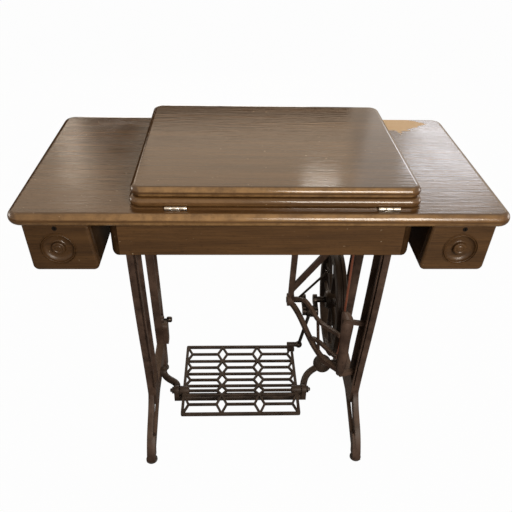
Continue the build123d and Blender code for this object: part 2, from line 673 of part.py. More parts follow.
def cross_bar():
    """Bar under the treadle with an ear at each pivot and arms back to the frames."""
    z = TREADLE_Z - CROSS_BAR_DROP
    ears = (ear_x(-1), ear_x(1))
    solid = rod((ears[0] - 6, PIVOT_Y, z), (ears[1] + 6, PIVOT_Y, z), CROSS_BAR_R)
    for side, x in zip((-1, 1), ears):
        solid += rod((x - 6, PIVOT_Y, TREADLE_Z), (x + 6, PIVOT_Y, TREADLE_Z), 13)
        solid += block(x - 6, x + 6, PIVOT_Y - 13, PIVOT_Y + 13, z, TREADLE_Z)
        solid += block(x - 6, x + 6, PIVOT_Y, PIVOT_Y + 22, TREADLE_Z - 12, TREADLE_Z + 4)
        solid += cross_bar_arm(side)
    solid += Pos(ears[1] + 60, cross_bar_rear(1) - 4, LOW_RAIL_Z) * Sphere(DOME_R)
    solid &= block(-FRAME_INNER, FRAME_INNER, -300, 300, 0, 300)
    for x in ears:
        solid -= rod((x - 20, PIVOT_Y, TREADLE_Z), (x + 20, PIVOT_Y, TREADLE_Z), PIVOT_R + RUN_FIT)
    for x0, x1, y, zz in frame_bolts_along_x()[2:]:
        solid -= rod((x0, y, zz), (x1, y, zz), BOLT_R + RUN_FIT)
    return solid


LUG_LENGTH = 8.0
EAR_GAP = 2.0


def ear_x(side):
    """X of the middle of a cross-bar ear."""
    edge = TREADLE_LEFT if side < 0 else TREADLE_RIGHT
    return edge + side * (LUG_LENGTH + EAR_GAP + 6)


def pivot_screws():
    """Cone-ended screws in the ears, each with its locknut."""
    solids = []
    for side in (-1, 1):
        ear = ear_x(side)
        tip = ear - side * 14
        screw = turned_x([(0, 0), (8, PIVOT_R), (29, PIVOT_R), (31, PIVOT_R - 1.5), (31, 0)])
        solids.append(Pos(tip, PIVOT_Y, TREADLE_Z) * (screw if side > 0 else mirrored(screw)))
        face = Plane(origin=(ear + side * 6, PIVOT_Y, TREADLE_Z), z_dir=(side, 0, 0))
        nut = extrude(face * RegularPolygon(9, 6), amount=6)
        solids.append(nut - rod((ear - 30, PIVOT_Y, TREADLE_Z), (ear + 30, PIVOT_Y, TREADLE_Z),
                                PIVOT_R + RUN_FIT))
    return Compound(children=[part for solid in solids for part in solid.solids()])


TREADLE_ROWS = (0.0, 0.23, 0.43, 0.61, 0.745, 1.0)
DIAMOND_HALF = 13.0


def lattice_holes():
    """Long half hexagons, diamonds and end triangles between the treadle's rows."""
    left, right = TREADLE_LEFT + TREADLE_RIM / 2, TREADLE_RIGHT - TREADLE_RIM / 2
    rear, front = TREADLE_REAR - TREADLE_RIM / 2, TREADLE_FRONT + TREADLE_RIM / 2
    rows = [rear + (front - rear) * share for share in TREADLE_ROWS]
    columns = [left + (right - left) * i / 3 for i in range(4)]
    cells = []
    for y0, y1 in zip(rows, rows[1:]):
        mid = (y0 + y1) / 2
        for xa, xb in zip(columns, columns[1:]):
            for y in (y0, y1):
                cells.append([(xa, y), (xb, y), (xb - DIAMOND_HALF, mid), (xa + DIAMOND_HALF, mid)])
        for x in columns[1:-1]:
            cells.append([(x, y0), (x + DIAMOND_HALF, mid), (x, y1), (x - DIAMOND_HALF, mid)])
        cells.append([(left, y0), (left + DIAMOND_HALF, mid), (left, y1)])
        cells.append([(right, y0), (right - DIAMOND_HALF, mid), (right, y1)])
    return cells


def treadle():
    low = TREADLE_Z - TREADLE_THICK / 2
    plate = extrude(RectangleRounded(TREADLE_WIDTH, TREADLE_DEPTH, 5), amount=TREADLE_THICK)
    solid = Pos(TREADLE_X, (TREADLE_REAR + TREADLE_FRONT) / 2, low) * plate
    holes = []
    for cell in lattice_holes():
        face = offset(make_face(Polyline(*cell, close=True)), amount=-TREADLE_BAR / 2,
                      kind=Kind.INTERSECTION)
        holes.append(Solid.extrude(Pos(0, 0, low - 1) * face.faces()[0], Vector(0, 0, TREADLE_THICK + 2)))
    solid = solid - holes
    for side, edge in ((-1, TREADLE_LEFT), (1, TREADLE_RIGHT)):
        lug = rod((edge - side * 16, PIVOT_Y, TREADLE_Z), (edge + side * LUG_LENGTH, PIVOT_Y, TREADLE_Z),
                  11)
        tip = ear_x(side) - side * 14
        gap = SLIDE_FIT * 1.6
        socket = turned_x([(-gap, 0), (8, PIVOT_R + gap), (40, PIVOT_R + gap), (40, 0)])
        lug -= Pos(tip, PIVOT_Y, TREADLE_Z) * (socket if side > 0 else mirrored(socket))
        solid = solid - rod((edge - side * 10, PIVOT_Y, TREADLE_Z), (edge + side * 30, PIVOT_Y, TREADLE_Z),
                            8) + lug
    corner_y = ball_y()
    solid += block(TREADLE_RIGHT - 16, TREADLE_RIGHT + 4, corner_y - 8, corner_y + 8, TREADLE_Z - 5,
                   TREADLE_Z + 5)
    solid += block(TREADLE_RIGHT - 14, TREADLE_RIGHT - 1, corner_y - 6, corner_y + 6, TREADLE_Z, ball_z())
    return solid + rod((TREADLE_RIGHT - 17, corner_y, ball_z()), (ball_left() - 0.8, corner_y, ball_z()), 7)


def ball_y():
    return TREADLE_REAR - 9.0


def ball_z():
    return TREADLE_Z + 15.0


def ball_left():
    return TREADLE_RIGHT + 6.0


def pitman_rod():
    """Rod from the crank pin down to the ball cup beside the treadle's corner."""
    half = CRANK_PIN_LENGTH / 2 - SLIDE_FIT
    eye = rod((CRANK_X - half, CRANK_PIN_Y, CRANK_PIN_Z), (CRANK_X + half, CRANK_PIN_Y, CRANK_PIN_Z), 15)
    low = (ball_left() + BALL_R, ball_y(), ball_z())
    high = (CRANK_X, CRANK_PIN_Y, CRANK_PIN_Z)
    solid = eye + rod(high, low, PITMAN_R)
    solid += rod((ball_left(), ball_y(), ball_z()), (ball_left() + BALL_R, ball_y(), ball_z()), 7)
    solid += Pos(low) * Sphere(BALL_R - 0.2)
    return solid - rod((CRANK_X - 20, CRANK_PIN_Y, CRANK_PIN_Z), (CRANK_X + 20, CRANK_PIN_Y, CRANK_PIN_Z),
                       CRANK_PIN_R + RUN_FIT)


# Crankshaft, flywheel, hanger, guard and belt

def crankshaft():
    half = CRANK_PIN_LENGTH / 2
    left_end = HANGER_X - BUSH_LENGTH / 2 - 2
    right_end = FRAME_INNER + 2
    shaft = rod((left_end, SHAFT_Y, SHAFT_Z), (CRANK_X - half, SHAFT_Y, SHAFT_Z), SHAFT_R)
    shaft += rod((CRANK_X + half, SHAFT_Y, SHAFT_Z), (right_end, SHAFT_Y, SHAFT_Z), SHAFT_R)
    for x in (CRANK_X - half - CRANK_WEB, CRANK_X + half):
        web = rod((x, SHAFT_Y, SHAFT_Z), (x + CRANK_WEB, SHAFT_Y, SHAFT_Z), 14)
        web += rod((x, CRANK_PIN_Y, CRANK_PIN_Z), (x + CRANK_WEB, CRANK_PIN_Y, CRANK_PIN_Z), 11)
        web += bar((x + CRANK_WEB / 2, SHAFT_Y, SHAFT_Z), (x + CRANK_WEB / 2, CRANK_PIN_Y, CRANK_PIN_Z),
                   CRANK_WEB, 18)
        shaft += web
    pin_ends = (CRANK_X - half - 2, CRANK_X + half + 2)
    return shaft + rod((pin_ends[0], CRANK_PIN_Y, CRANK_PIN_Z), (pin_ends[1], CRANK_PIN_Y, CRANK_PIN_Z),
                       CRANK_PIN_R)


def shaft_bush(x0, x1):
    """Plain bearing sleeve of the crankshaft."""
    sleeve = rod((x0, SHAFT_Y, SHAFT_Z), (x1, SHAFT_Y, SHAFT_Z), SHAFT_R + BUSH_WALL)
    return sleeve - rod((x0 - 1, SHAFT_Y, SHAFT_Z), (x1 + 1, SHAFT_Y, SHAFT_Z), SHAFT_R + RUN_FIT)


def shaft_bushes():
    left = shaft_bush(HANGER_X - BUSH_LENGTH / 2, HANGER_X + BUSH_LENGTH / 2)
    right = shaft_bush(WHEEL_RIGHT + 12, FRAME_INNER + 4)
    return Compound(children=left.solids() + right.solids())


def flywheel():
    """Rim with a round belt groove, forked spokes and a hub keyed on the shaft."""
    half = WHEEL_WIDTH / 2
    inner = WHEEL_R - WHEEL_RIM
    rim = turned_x([(-half, inner), (half, inner), (half, WHEEL_R - 2), (half - 2, WHEEL_R),
                    (2 - half, WHEEL_R),
                    (-half, WHEEL_R - 2)])
    hub = turned_x([(-half - 6, 0), (half + 8, 0), (half + 8, WHEEL_HUB_R - 3), (half, WHEEL_HUB_R),
                    (-half, WHEEL_HUB_R), (-half - 6, WHEEL_HUB_R - 3)])
    wheel = rim + hub
    fork_r = WHEEL_HUB_R + (inner - WHEEL_HUB_R) * SPOKE_FORK
    for i in range(SPOKE_COUNT):
        angle = math.pi / 2 + 2 * math.pi * i / SPOKE_COUNT
        fork = spoke_point(fork_r, angle)
        wheel += rod(spoke_point(WHEEL_HUB_R - 6, angle), fork, SPOKE_R) + Pos(fork) * Sphere(SPOKE_R + 0.6)
        for turn in (-1, 1):
            tip = spoke_point(inner + 5, angle + turn * math.pi / SPOKE_COUNT / 2)
            wheel += rod(fork, tip, SPOKE_R * 0.75)
    wheel -= Solid.make_torus(WHEEL_BELT_R, BELT_R + SLIDE_FIT, Plane(origin=(0, 0, 0), z_dir=(1, 0, 0)))
    wheel -= rod((-60, 0, 0), (60, 0, 0), SHAFT_R + RUN_FIT)
    return Pos(BELT_X, SHAFT_Y, SHAFT_Z) * wheel


def spoke_point(radius, angle):
    return Vector(0, radius * math.cos(angle), radius * math.sin(angle))


# Hanger bars in the upright plane from the left bearing to the guard:
# share of the way, height over the shaft
HANGER_BOW = ((0.03, -8), (0.30, -32), (0.48, -58), (0.62, -70), (0.82, -73))
HANGER_PIN = ((0.57, 28), (0.645, -70))
FOOT_DEGREES = -23.0
HANGER_RIBS = (((0.04, 10), (0.14, 24), (0.31, 43), (0.44, 37), (0.55, 27), (0.76, 32), (0.98, 44)),
               ((0.46, -56), (0.58, -39), (0.78, -32), (0.98, -24)))
# Guard sections from top to foot: degrees over the shaft, share of the width, shift to the right
GUARD_SECTIONS = ((30, 0.5, -5), (23, 1.2, 2), (12, 1.06, 0), (0, 0.96, -1), (-12, 0.92, 0), (-24, 0.8, 1),
                  (-31, 0.55, 1))
LUG_DEGREES = 24.0
LINK_DEGREES = -28.0


def guard_place(degrees, outward):
    """Point on the guard's middle line, some way out from its hollow side."""
    angle = math.radians(degrees)
    radius = WHEEL_R + GUARD_GAP + outward
    return Vector(BELT_X, SHAFT_Y - radius * math.cos(angle), SHAFT_Z + radius * math.sin(angle))


def guard_band():
    """Curved shield round the front of the flywheel, flat behind and rounded in front."""
    faces = []
    for degrees, share, shift in GUARD_SECTIONS:
        centre = guard_place(degrees, 0)
        out = guard_place(degrees, 1) - centre
        plane = Plane(origin=centre + Vector(shift, 0, 0), x_dir=(1, 0, 0),
                      z_dir=Vector(1, 0, 0).cross(out))
        half = GUARD_WIDTH * share / 2
        rise = min(GUARD_THICK, half * 0.9)
        outline = [ThreePointArc((-half, 0), (0, rise), (half, 0)), Line((half, 0), (-half, 0))]
        faces.append(plane * make_face(outline))
    return loft(faces)


def hanger_place(share, height):
    """Point some way along from the left bearing to the guard, at a height over the shaft."""
    start = Vector(HANGER_X, SHAFT_Y, SHAFT_Z)
    end = guard_place(0, 0) - Vector(GUARD_WIDTH / 2 - 1, 0, 0)
    return start + (end - start) * share + Vector(0, 0, height)


def hanger_ribs():
    """Bow, pin and ribs between the bearing and the guard, and the foot that joins bow and guard."""
    start = hanger_place(0, 0)
    run = hanger_place(1, 0) - start
    plane = Plane(origin=start, x_dir=run, z_dir=run.cross(Vector(0, 0, 1)))
    solids = []
    for points, width in [(HANGER_BOW, 12), (HANGER_PIN, 5.5)] + [(rib, 8.5) for rib in HANGER_RIBS]:
        centre = [(share * run.length, height) for share, height in points]
        face = plane * ribbon(centre, [width] * len(centre))
        solids.append(extrude(face, amount=min(HANGER_BAR - 3, width) / 2, both=True))
    share, height = HANGER_BOW[-1]
    foot = bar(hanger_place(share - 0.02, height), guard_place(FOOT_DEGREES, 3), HANGER_BAR - 3, 12)
    solids.append(foot)
    return solids


def guard_stay():
    """Flat bar across the guard's top to the front leg, before it is parted from the casting."""
    start = guard_place(LUG_DEGREES, GUARD_THICK - 3) - Vector(9, 0, 0)
    z = start.Z - 6
    return bar(start, (FRAME_OUTER, along_leg(FRONT_LEG, z), z), 8, 11)


def stay_joint_x():
    return BELT_X + 19.0


def wheel_hanger():
    """Casting with the left bearing: upright, brace to the rear leg, bow, ribs and the guard."""
    bearing = Vector(HANGER_X, SHAFT_Y, SHAFT_Z)
    half = BUSH_LENGTH / 2
    casting = rod((HANGER_X - half, SHAFT_Y, SHAFT_Z), (HANGER_X + half, SHAFT_Y, SHAFT_Z), BOSS_R)
    top_y = tie_bar_y() + TIE_BAR_THICK + HANGER_BAR / 2
    upright_top = Vector(HANGER_X, top_y, TIE_BAR_Z - TIE_BAR_HEIGHT / 2 - 8)
    casting += bar(bearing, upright_top, HANGER_BAR, HANGER_BAR)
    casting += block(HANGER_X - HANGER_BAR / 2, HANGER_X + HANGER_BAR / 2, tie_bar_y() + TIE_BAR_THICK,
                     tie_bar_y() + TIE_BAR_THICK + HANGER_BAR, upright_top.Z - 5, TIE_BAR_Z + 16)
    brace_low = bearing + (upright_top - bearing) * 0.22
    brace_z = TIE_BAR_Z + 96
    casting += bar(brace_low, (FRAME_OUTER, along_leg(REAR_LEG, brace_z), brace_z), HANGER_BAR - 2,
                   HANGER_BAR)
    for solid in hanger_ribs():
        casting += solid
    casting += guard_band()
    casting += guard_stay() - block(stay_joint_x(), FRAME_OUTER + 9, -300, 300, 0, TABLE_UNDER)
    link = guard_place(LINK_DEGREES, GUARD_THICK / 2)
    casting += bar(link, (FRAME_OUTER, along_leg(FRONT_LEG, link.Z), link.Z), 11, 12)
    web = FRAME_OUTER - FRAME_WEB
    casting -= block(web, FRAME_OUTER + 9, -300, 300, 0, TABLE_UNDER)
    casting -= rod((HANGER_X - 40, SHAFT_Y, SHAFT_Z), (HANGER_X + 40, SHAFT_Y, SHAFT_Z),
                   SHAFT_R + BUSH_WALL + RUN_FIT)
    bolt_y = tie_bar_y() + TIE_BAR_THICK
    return casting - rod((HANGER_X, bolt_y - 1, TIE_BAR_Z), (HANGER_X, bolt_y + 40, TIE_BAR_Z),
                         BOLT_R + RUN_FIT)


def guard_bracket():
    """Rest of the stay, from the casting's lug into the channel of the front leg."""
    return guard_stay() & block(stay_joint_x(), FRAME_OUTER - FRAME_WEB, -300, 300, 0, TABLE_UNDER)


def belt_guide():
    """Thin rod from the hanger to a loop beside the belt."""
    start = hanger_place(0.15, 26)
    end = Vector(WHEEL_LEFT - 18, SHAFT_Y - 44, SHAFT_Z + 120)
    guide = rod(start, end, 3) + Pos(end) * Sphere(5)
    return guide - wheel_hanger()


def belt():
    """Round leather belt round the flywheel and the handwheel pulley."""
    low, high = Vector(SHAFT_Y, SHAFT_Z), Vector(HANDWHEEL_Y, HANDWHEEL_Z)
    run = high - low
    lean = math.acos((WHEEL_BELT_R - HANDWHEEL_BELT_R) / run.length)
    heading = math.atan2(run.Y, run.X)

    def place(centre, radius, angle):
        return (BELT_X, centre.X + radius * math.cos(angle), centre.Y + radius * math.sin(angle))

    front, rear = heading + lean, heading - lean
    a, b = place(low, WHEEL_BELT_R, front), place(high, HANDWHEEL_BELT_R, front)
    c, d = place(high, HANDWHEEL_BELT_R, rear), place(low, WHEEL_BELT_R, rear)
    path = Wire([Line(a, b).edge(), ThreePointArc(b, place(high, HANDWHEEL_BELT_R, heading), c).edge(),
                 Line(c, d).edge(), ThreePointArc(d, place(low, WHEEL_BELT_R, heading + math.pi),
                                                  a).edge()])
    section = Plane(origin=a, z_dir=Vector(b) - Vector(a)) * Circle(BELT_R)
    return sweep(section, path=path)


# Machine head, upright about its hinge; FOLD lays it into the well

NEEDLE_PLATE_R = 18.0
NEEDLE_PLATE_THICK = 2.5
SLIDE_PLATE_WIDTH = 50.0
SLIDE_PLATE_LENGTH = 40.0
FEED_SLOT = 5.0
FEED_LENGTH = 11.0


def head_bed():
    bed = block(BED_LEFT, BED_RIGHT, BED_FRONT, BED_REAR, BED_LOW, BED_TOP)
    bed = fillet(bed.edges().filter_by(Axis.Z), 14)
    bed -= block(BED_LEFT + BED_WALL, BED_RIGHT - BED_WALL, BED_FRONT + BED_WALL, BED_REAR - BED_WALL,
                 BED_LOW - 1, BED_TOP - BED_WALL)
    seat = BED_TOP - NEEDLE_PLATE_THICK
    bed -= rod((NEEDLE_X, ARM_Y, seat), (NEEDLE_X, ARM_Y, BED_TOP + 1), NEEDLE_PLATE_R + SLIDE_FIT)
    bed -= rod((NEEDLE_X, ARM_Y, BED_LOW), (NEEDLE_X, ARM_Y, BED_TOP + 1), NEEDLE_PLATE_R - 2.5)
    half = SLIDE_PLATE_WIDTH / 2 + SLIDE_FIT
    right = NEEDLE_X - NEEDLE_PLATE_R - 2
    bed -= block(BED_LEFT - 1, right, ARM_Y - half, ARM_Y + half, seat, BED_TOP + 1)
    bed -= block(BED_LEFT + BED_WALL + 4, right - 6, ARM_Y - half + 6, ARM_Y + half - 6, BED_LOW,
                 BED_TOP + 1)
    for x in head_hinge_places():
        bed += block(x - 9, x + 9, BED_REAR - 20, BED_REAR - 2, BED_LOW + 4, BED_TOP - 1)
        bed -= rod((x, BED_REAR - 12, 0), (x, BED_REAR + 1, 0), 4.5 + RUN_FIT)
    x = BED_RIGHT - 90
    bed += block(x - 8, x + 8, ARM_Y - 10, ARM_Y + 10, hook_z() - 9, BED_TOP - 1)
    return bed - rod((x - 20, ARM_Y, hook_z()), (x + 20, ARM_Y, hook_z()), ROCK_SHAFT_R + RUN_FIT)


def head_hinge_places():
    return (BED_LEFT + 76, BED_RIGHT - 76)


def head_hinges():
    """Hinges on the rear edge of the well: barrel, shank into the bed and leaf on the table's edge."""
    pieces = []
    rear = well_box(WELL_MARGIN)[3] - HEAD_HINGE_Y
    for x in head_hinge_places():
        shank = rod((x, 0, -BED_GAP - 11), (x, 0, 0), 4.5)
        barrel = rod((x - 12, 0, 0), (x + 12, 0, 0), 5.5)
        arm = block(x - 12, x + 12, 0, rear, -3, 3)
        leaf = block(x - 12, x + 12, rear - HEAD_LEAF, rear, -15, 5)
        hinge = Pos(0, HEAD_HINGE_Y, HEAD_HINGE_Z) * (shank + barrel + arm + leaf)
        pieces += hinge.solids()
    return Compound(children=pieces)


def head_arm():
    top = BED_TOP + ARM_HEIGHT
    throat = BED_TOP + 150
    outline = [(BED_RIGHT, BED_TOP), (BED_RIGHT, top - 10), (ARM_LEFT + 40, top - 4), (ARM_LEFT, top - 16),
               (ARM_LEFT, BED_TOP + 84), (NEEDLE_X + 34, BED_TOP + 84), (NEEDLE_X + 50, throat - 14),
               (BED_RIGHT - 92, throat), (BED_RIGHT - 92, BED_TOP)]
    face = make_face(Polyline(*[(x, ARM_FRONT, z) for x, z in outline], close=True))
    corners = [v for v in face.vertices() if v.Z > BED_TOP + 1]
    face = fillet(corners, 12)
    arm = extrude(face, amount=ARM_DEPTH, dir=(0, 1, 0))
    arm = chamfer(arm.faces().sort_by(Axis.Y)[0].edges() + arm.faces().sort_by(Axis.Y)[-1].edges(), 5)
    arm -= rod((ARM_LEFT + 20, ARM_Y, ARM_SHAFT_Z), (BED_RIGHT + 1, ARM_Y, ARM_SHAFT_Z),
               ARM_SHAFT_R + RUN_FIT)
    arm -= block(ARM_LEFT + 10, NEEDLE_X + 20, ARM_Y - 28, ARM_Y + 28, BED_TOP + 100, top - 40)
    y0, y1 = ARM_FRONT + ARM_WALL, ARM_REAR - ARM_WALL
    arm -= block(BED_RIGHT - 92 + ARM_WALL, BED_RIGHT - ARM_WALL, y0, y1, BED_TOP - 1, ARM_SHAFT_Z - 14)
    arm -= block(NEEDLE_X + 52, BED_RIGHT - 24, y0, y1, throat + ARM_WALL, top - 22)
    for y, r in ((ARM_Y, NEEDLE_BAR_R), (presser_y(), PRESSER_BAR_R)):
        arm -= rod((NEEDLE_X, y, BED_TOP + 60), (NEEDLE_X, y, top + 20), r + RUN_FIT)
    arm -= rod((ARM_LEFT - 1, ARM_Y - 26, tension_z()), (ARM_LEFT + 9, ARM_Y - 26, tension_z()),
               2.5 + RUN_FIT)
    arm -= rod((BED_RIGHT - 46, ARM_FRONT - 1, BED_TOP + 70), (BED_RIGHT - 46, ARM_FRONT + 14,
                                                               BED_TOP + 70), 4 + RUN_FIT)
    for x in spool_pin_places():
        arm -= rod((x, ARM_Y, top - 20), (x, ARM_Y, top + 1), 2.5 + RUN_FIT)
    arm -= rod((NEEDLE_X, ARM_REAR - 9, lever_z()), (NEEDLE_X, ARM_REAR + 1, lever_z()), 3 + RUN_FIT)
    arm -= rod((ARM_LEFT - 1, ARM_Y + 14, take_up_z()), (ARM_LEFT + 9, ARM_Y + 14, take_up_z()),
               3 + RUN_FIT)
    return arm


def presser_y():
    return ARM_Y + PRESSER_SETBACK


def lever_z():
    return BED_TOP + 104.0


def tension_z():
    return BED_TOP + 118.0


def take_up_z():
    return BED_TOP + 178.0


def spool_pin_places():
    return (BED_RIGHT - 120, BED_RIGHT - 170)


def face_plate():
    """Thin cover on the left end of the arm with holes for the dial and the take-up pivot."""
    plate = block(ARM_LEFT - 3, ARM_LEFT, ARM_FRONT + 8, ARM_REAR - 8, BED_TOP + 96,
                  BED_TOP + ARM_HEIGHT - 36)
    plate = fillet(plate.edges().filter_by(Axis.X), 8)
    plate -= rod((ARM_LEFT - 9, ARM_Y - 26, tension_z()), (ARM_LEFT + 9, ARM_Y - 26, tension_z()),
                 2.5 + RUN_FIT)
    return plate - rod((ARM_LEFT - 9, ARM_Y + 14, take_up_z()), (ARM_LEFT + 9, ARM_Y + 14, take_up_z()),
                       3 + RUN_FIT)


def arm_shaft():
    return rod((NEEDLE_X + 22, ARM_Y, ARM_SHAFT_Z), (BELT_X + 16, ARM_Y, ARM_SHAFT_Z), ARM_SHAFT_R)


def handwheel():
    """Dished handwheel with a belt pulley on its inner side."""
    profile = [(-7, 0), (-7, 39), (-5, 45.5), (5, 45.5), (7, 47), (9, HANDWHEEL_R - 4), (12, HANDWHEEL_R),
               (19, HANDWHEEL_R), (22, HANDWHEEL_R - 4), (20, HANDWHEEL_R - 14), (16, 40), (17, 24),
               (20, 20), (20, 0)]
    wheel = turned_x(profile)
    groove = Solid.make_torus(HANDWHEEL_BELT_R, BELT_R + SLIDE_FIT, Plane(origin=(0, 0, 0), z_dir=(1, 0,
                                                                                                   0)))
    wheel -= groove
    rim_cut = turned_x([(-5.0, HANDWHEEL_BELT_R), (5.0, HANDWHEEL_BELT_R), (5.0, 46.5), (-5.0, 46.5)])
    wheel -= rim_cut
    wheel -= rod((-20, 0, 0), (16 + RUN_FIT, 0, 0), ARM_SHAFT_R + RUN_FIT)
    return Pos(BELT_X, ARM_Y, ARM_SHAFT_Z) * wheel


def clutch_knob():
    x = BELT_X + 20
    return turned_x([(x, 0), (x, 16), (x + 2, 18), (x + 6, 18), (x + 8, 15), (x + 8, 0)], ARM_Y,
                    ARM_SHAFT_Z)


def needle_bar():
    low, high = BED_TOP + 44, BED_TOP + ARM_HEIGHT + 4
    bar_solid = rod((NEEDLE_X, ARM_Y, low), (NEEDLE_X, ARM_Y, high), NEEDLE_BAR_R)
    clamp = rod((NEEDLE_X, ARM_Y, low + 1), (NEEDLE_X, ARM_Y, low + 12), 6)
    clamp += rod((NEEDLE_X, ARM_Y, low + 6), (NEEDLE_X - 12, ARM_Y, low + 6), 2.5)
    return bar_solid + clamp - rod((NEEDLE_X, ARM_Y, low - 1), (NEEDLE_X, ARM_Y, low + 9), 1 + RUN_FIT)


def needle():
    low = BED_TOP + 4
    return turned_z([(0, 0), (0.8, 4), (0.8, 26), (1, 27), (1, 48), (0, 48)], NEEDLE_X, ARM_Y, low)


def presser_bar():
    low, high = BED_TOP + 26, BED_TOP + ARM_HEIGHT - 2
    return rod((NEEDLE_X, presser_y(), low), (NEEDLE_X, presser_y(), high), PRESSER_BAR_R)


def presser_foot():
    """Foot with two toes either side of the needle, on the presser bar's end."""
    low = BED_TOP + SLIDE_FIT
    sole = block(NEEDLE_X - 9, NEEDLE_X + 9, ARM_Y - 14, presser_y() + 4, low, low + 2)
    sole -= block(NEEDLE_X - 3, NEEDLE_X + 3, ARM_Y - 20, ARM_Y + 6, low - 1, low + 3)
    shank = block(NEEDLE_X - 5, NEEDLE_X + 5, presser_y() - 5, presser_y() + 5, low + 1, BED_TOP + 26)
    return sole + shank


def presser_lever():
    """Small lever on the back of the arm that lifts the presser bar."""
    z = lever_z()
    hub = rod((NEEDLE_X, ARM_REAR - 8, z), (NEEDLE_X, ARM_REAR + 0.5, z), 3)
    hub += rod((NEEDLE_X, ARM_REAR + 0.4, z), (NEEDLE_X, ARM_REAR + 6, z), 8)
    handle = block(NEEDLE_X, NEEDLE_X + 34, ARM_REAR + 1, ARM_REAR + 5, z - 4, z + 4)
    return hub + handle + rod((NEEDLE_X + 34, ARM_REAR + 1, z), (NEEDLE_X + 34, ARM_REAR + 5, z), 4)


def take_up_lever():
    z = take_up_z()
    y = ARM_Y + 14
    pivot = rod((ARM_LEFT - 7, y, z), (ARM_LEFT + 8, y, z), 3)
    lever = block(ARM_LEFT - 7, ARM_LEFT - 3.5, ARM_FRONT + 2, y, z - 3, z + 3)
    lever += rod((ARM_LEFT - 7, ARM_FRONT + 2, z), (ARM_LEFT - 3.5, ARM_FRONT + 2, z), 5)
    lever -= rod((ARM_LEFT - 9, ARM_FRONT + 2, z), (ARM_LEFT, ARM_FRONT + 2, z), 1.8)
    return lever + pivot + rod((ARM_LEFT - 7, y, z), (ARM_LEFT - 3.5, y, z), 6)


def tension_dial():
    x = ARM_LEFT - 3.4
    return turned_x([(ARM_LEFT + 8, 0), (ARM_LEFT + 8, 2.5), (x, 2.5), (x, 13), (x - 2, 14), (x - 4, 5),
                     (x - 8, 5),
                     (x - 10, 10), (x - 16, 10), (x - 18, 8), (x - 18, 0)], ARM_Y - 26, tension_z())


def stitch_lever():
    """Stitch-length lever on a pivot in the front of the pillar."""
    x, z = BED_RIGHT - 46, BED_TOP + 70
    pivot = rod((x, ARM_FRONT + 13, z), (x, ARM_FRONT - 4, z), 4)
    plate = rod((x, ARM_FRONT - 0.4, z), (x, ARM_FRONT - 4, z), 12)
    handle = rod((x, ARM_FRONT - 3, z), (x, ARM_FRONT - 20, z - 16), 3)
    return pivot + plate + handle + Pos(x, ARM_FRONT - 20, z - 16) * Sphere(5)


def spool_pins():
    top = BED_TOP + ARM_HEIGHT
    pin = turned_z([(0, 0), (2.5, 0), (2.5, 58), (1.5, 60), (0, 60)])
    return Compound(children=[Pos(x, ARM_Y, top - 19) * pin for x in spool_pin_places()])


def needle_plate():
    seat = BED_TOP - NEEDLE_PLATE_THICK
    plate = rod((NEEDLE_X, ARM_Y, seat), (NEEDLE_X, ARM_Y, BED_TOP), NEEDLE_PLATE_R)
    plate -= rod((NEEDLE_X, ARM_Y, seat - 1), (NEEDLE_X, ARM_Y, BED_TOP + 1), 1.6)
    for side in (-1, 1):
        x = NEEDLE_X + side * 6
        plate -= block(x - FEED_SLOT / 2, x + FEED_SLOT / 2, ARM_Y - 2, ARM_Y + FEED_LENGTH + 4, seat - 1,
                       BED_TOP + 1)
    return plate


def slide_plate():
    right = NEEDLE_X - NEEDLE_PLATE_R - 2 - SLIDE_FIT
    half = SLIDE_PLATE_WIDTH / 2
    return block(right - SLIDE_PLATE_LENGTH, right, ARM_Y - half, ARM_Y + half,
                 BED_TOP - NEEDLE_PLATE_THICK + SLIDE_FIT, BED_TOP)


def feed_dog():
    """Two toothed bars on a carrier below the needle plate."""
    seat = BED_TOP - NEEDLE_PLATE_THICK
    carrier = block(NEEDLE_X - 9, NEEDLE_X + 9, ARM_Y + 3, ARM_Y + FEED_LENGTH - 3, seat - 5, seat - 2.5)
    for side in (-1, 1):
        x = NEEDLE_X + side * 6
        half = FEED_SLOT / 2 - LOOSE_FIT
        carrier += block(x - half, x + half, ARM_Y + 1, ARM_Y + FEED_LENGTH + 1, seat - 3, BED_TOP - 0.6)
    return carrier


HOOK_R = 15.0
HOOK_DROP = 30.0
ROCK_SHAFT_R = 5.0


def hook_z():
    return BED_TOP - HOOK_DROP


def shuttle_race():
    """Ring under the bed that carries the oscillating hook, on a post from the bed."""
    x0, x1 = NEEDLE_X - 8, NEEDLE_X + 8
    ring = turned_x([(x0, HOOK_R + LOOSE_FIT), (x1, HOOK_R + LOOSE_FIT), (x1, HOOK_R + 5),
                     (x0, HOOK_R + 5)],
                    ARM_Y, hook_z())
    ring -= block(x0 - 1, x1 + 1, ARM_Y - 6, ARM_Y + 6, hook_z(), BED_TOP)
    post = block(x0, x1, ARM_Y - HOOK_R - 4.5, ARM_Y - HOOK_R - 1, hook_z() + 4, BED_TOP - BED_WALL)
    return ring + post


def shuttle_hook():
    """Oscillating hook on the end of its rock shaft."""
    x0, x1 = NEEDLE_X - 7, NEEDLE_X + 7
    hook = turned_x([(x0, 9), (x0 + 10, 9), (x0 + 10, 0), (x1 + 2, 0), (x1 + 2, 6), (x1, HOOK_R),
                     (x0, HOOK_R)],
                    ARM_Y, hook_z())
    hook -= block(x0 - 1, x1 + 1, ARM_Y - 4, ARM_Y + 4, hook_z() + 6, BED_TOP)
    return hook + rod((x1, ARM_Y, hook_z()), (BED_RIGHT - 60, ARM_Y, hook_z()), ROCK_SHAFT_R)


def both(right_piece, name):
    """A piece and its mirror image on the other side."""
    return {name + "_right": right_piece, name + "_left": mirrored(right_piece)}


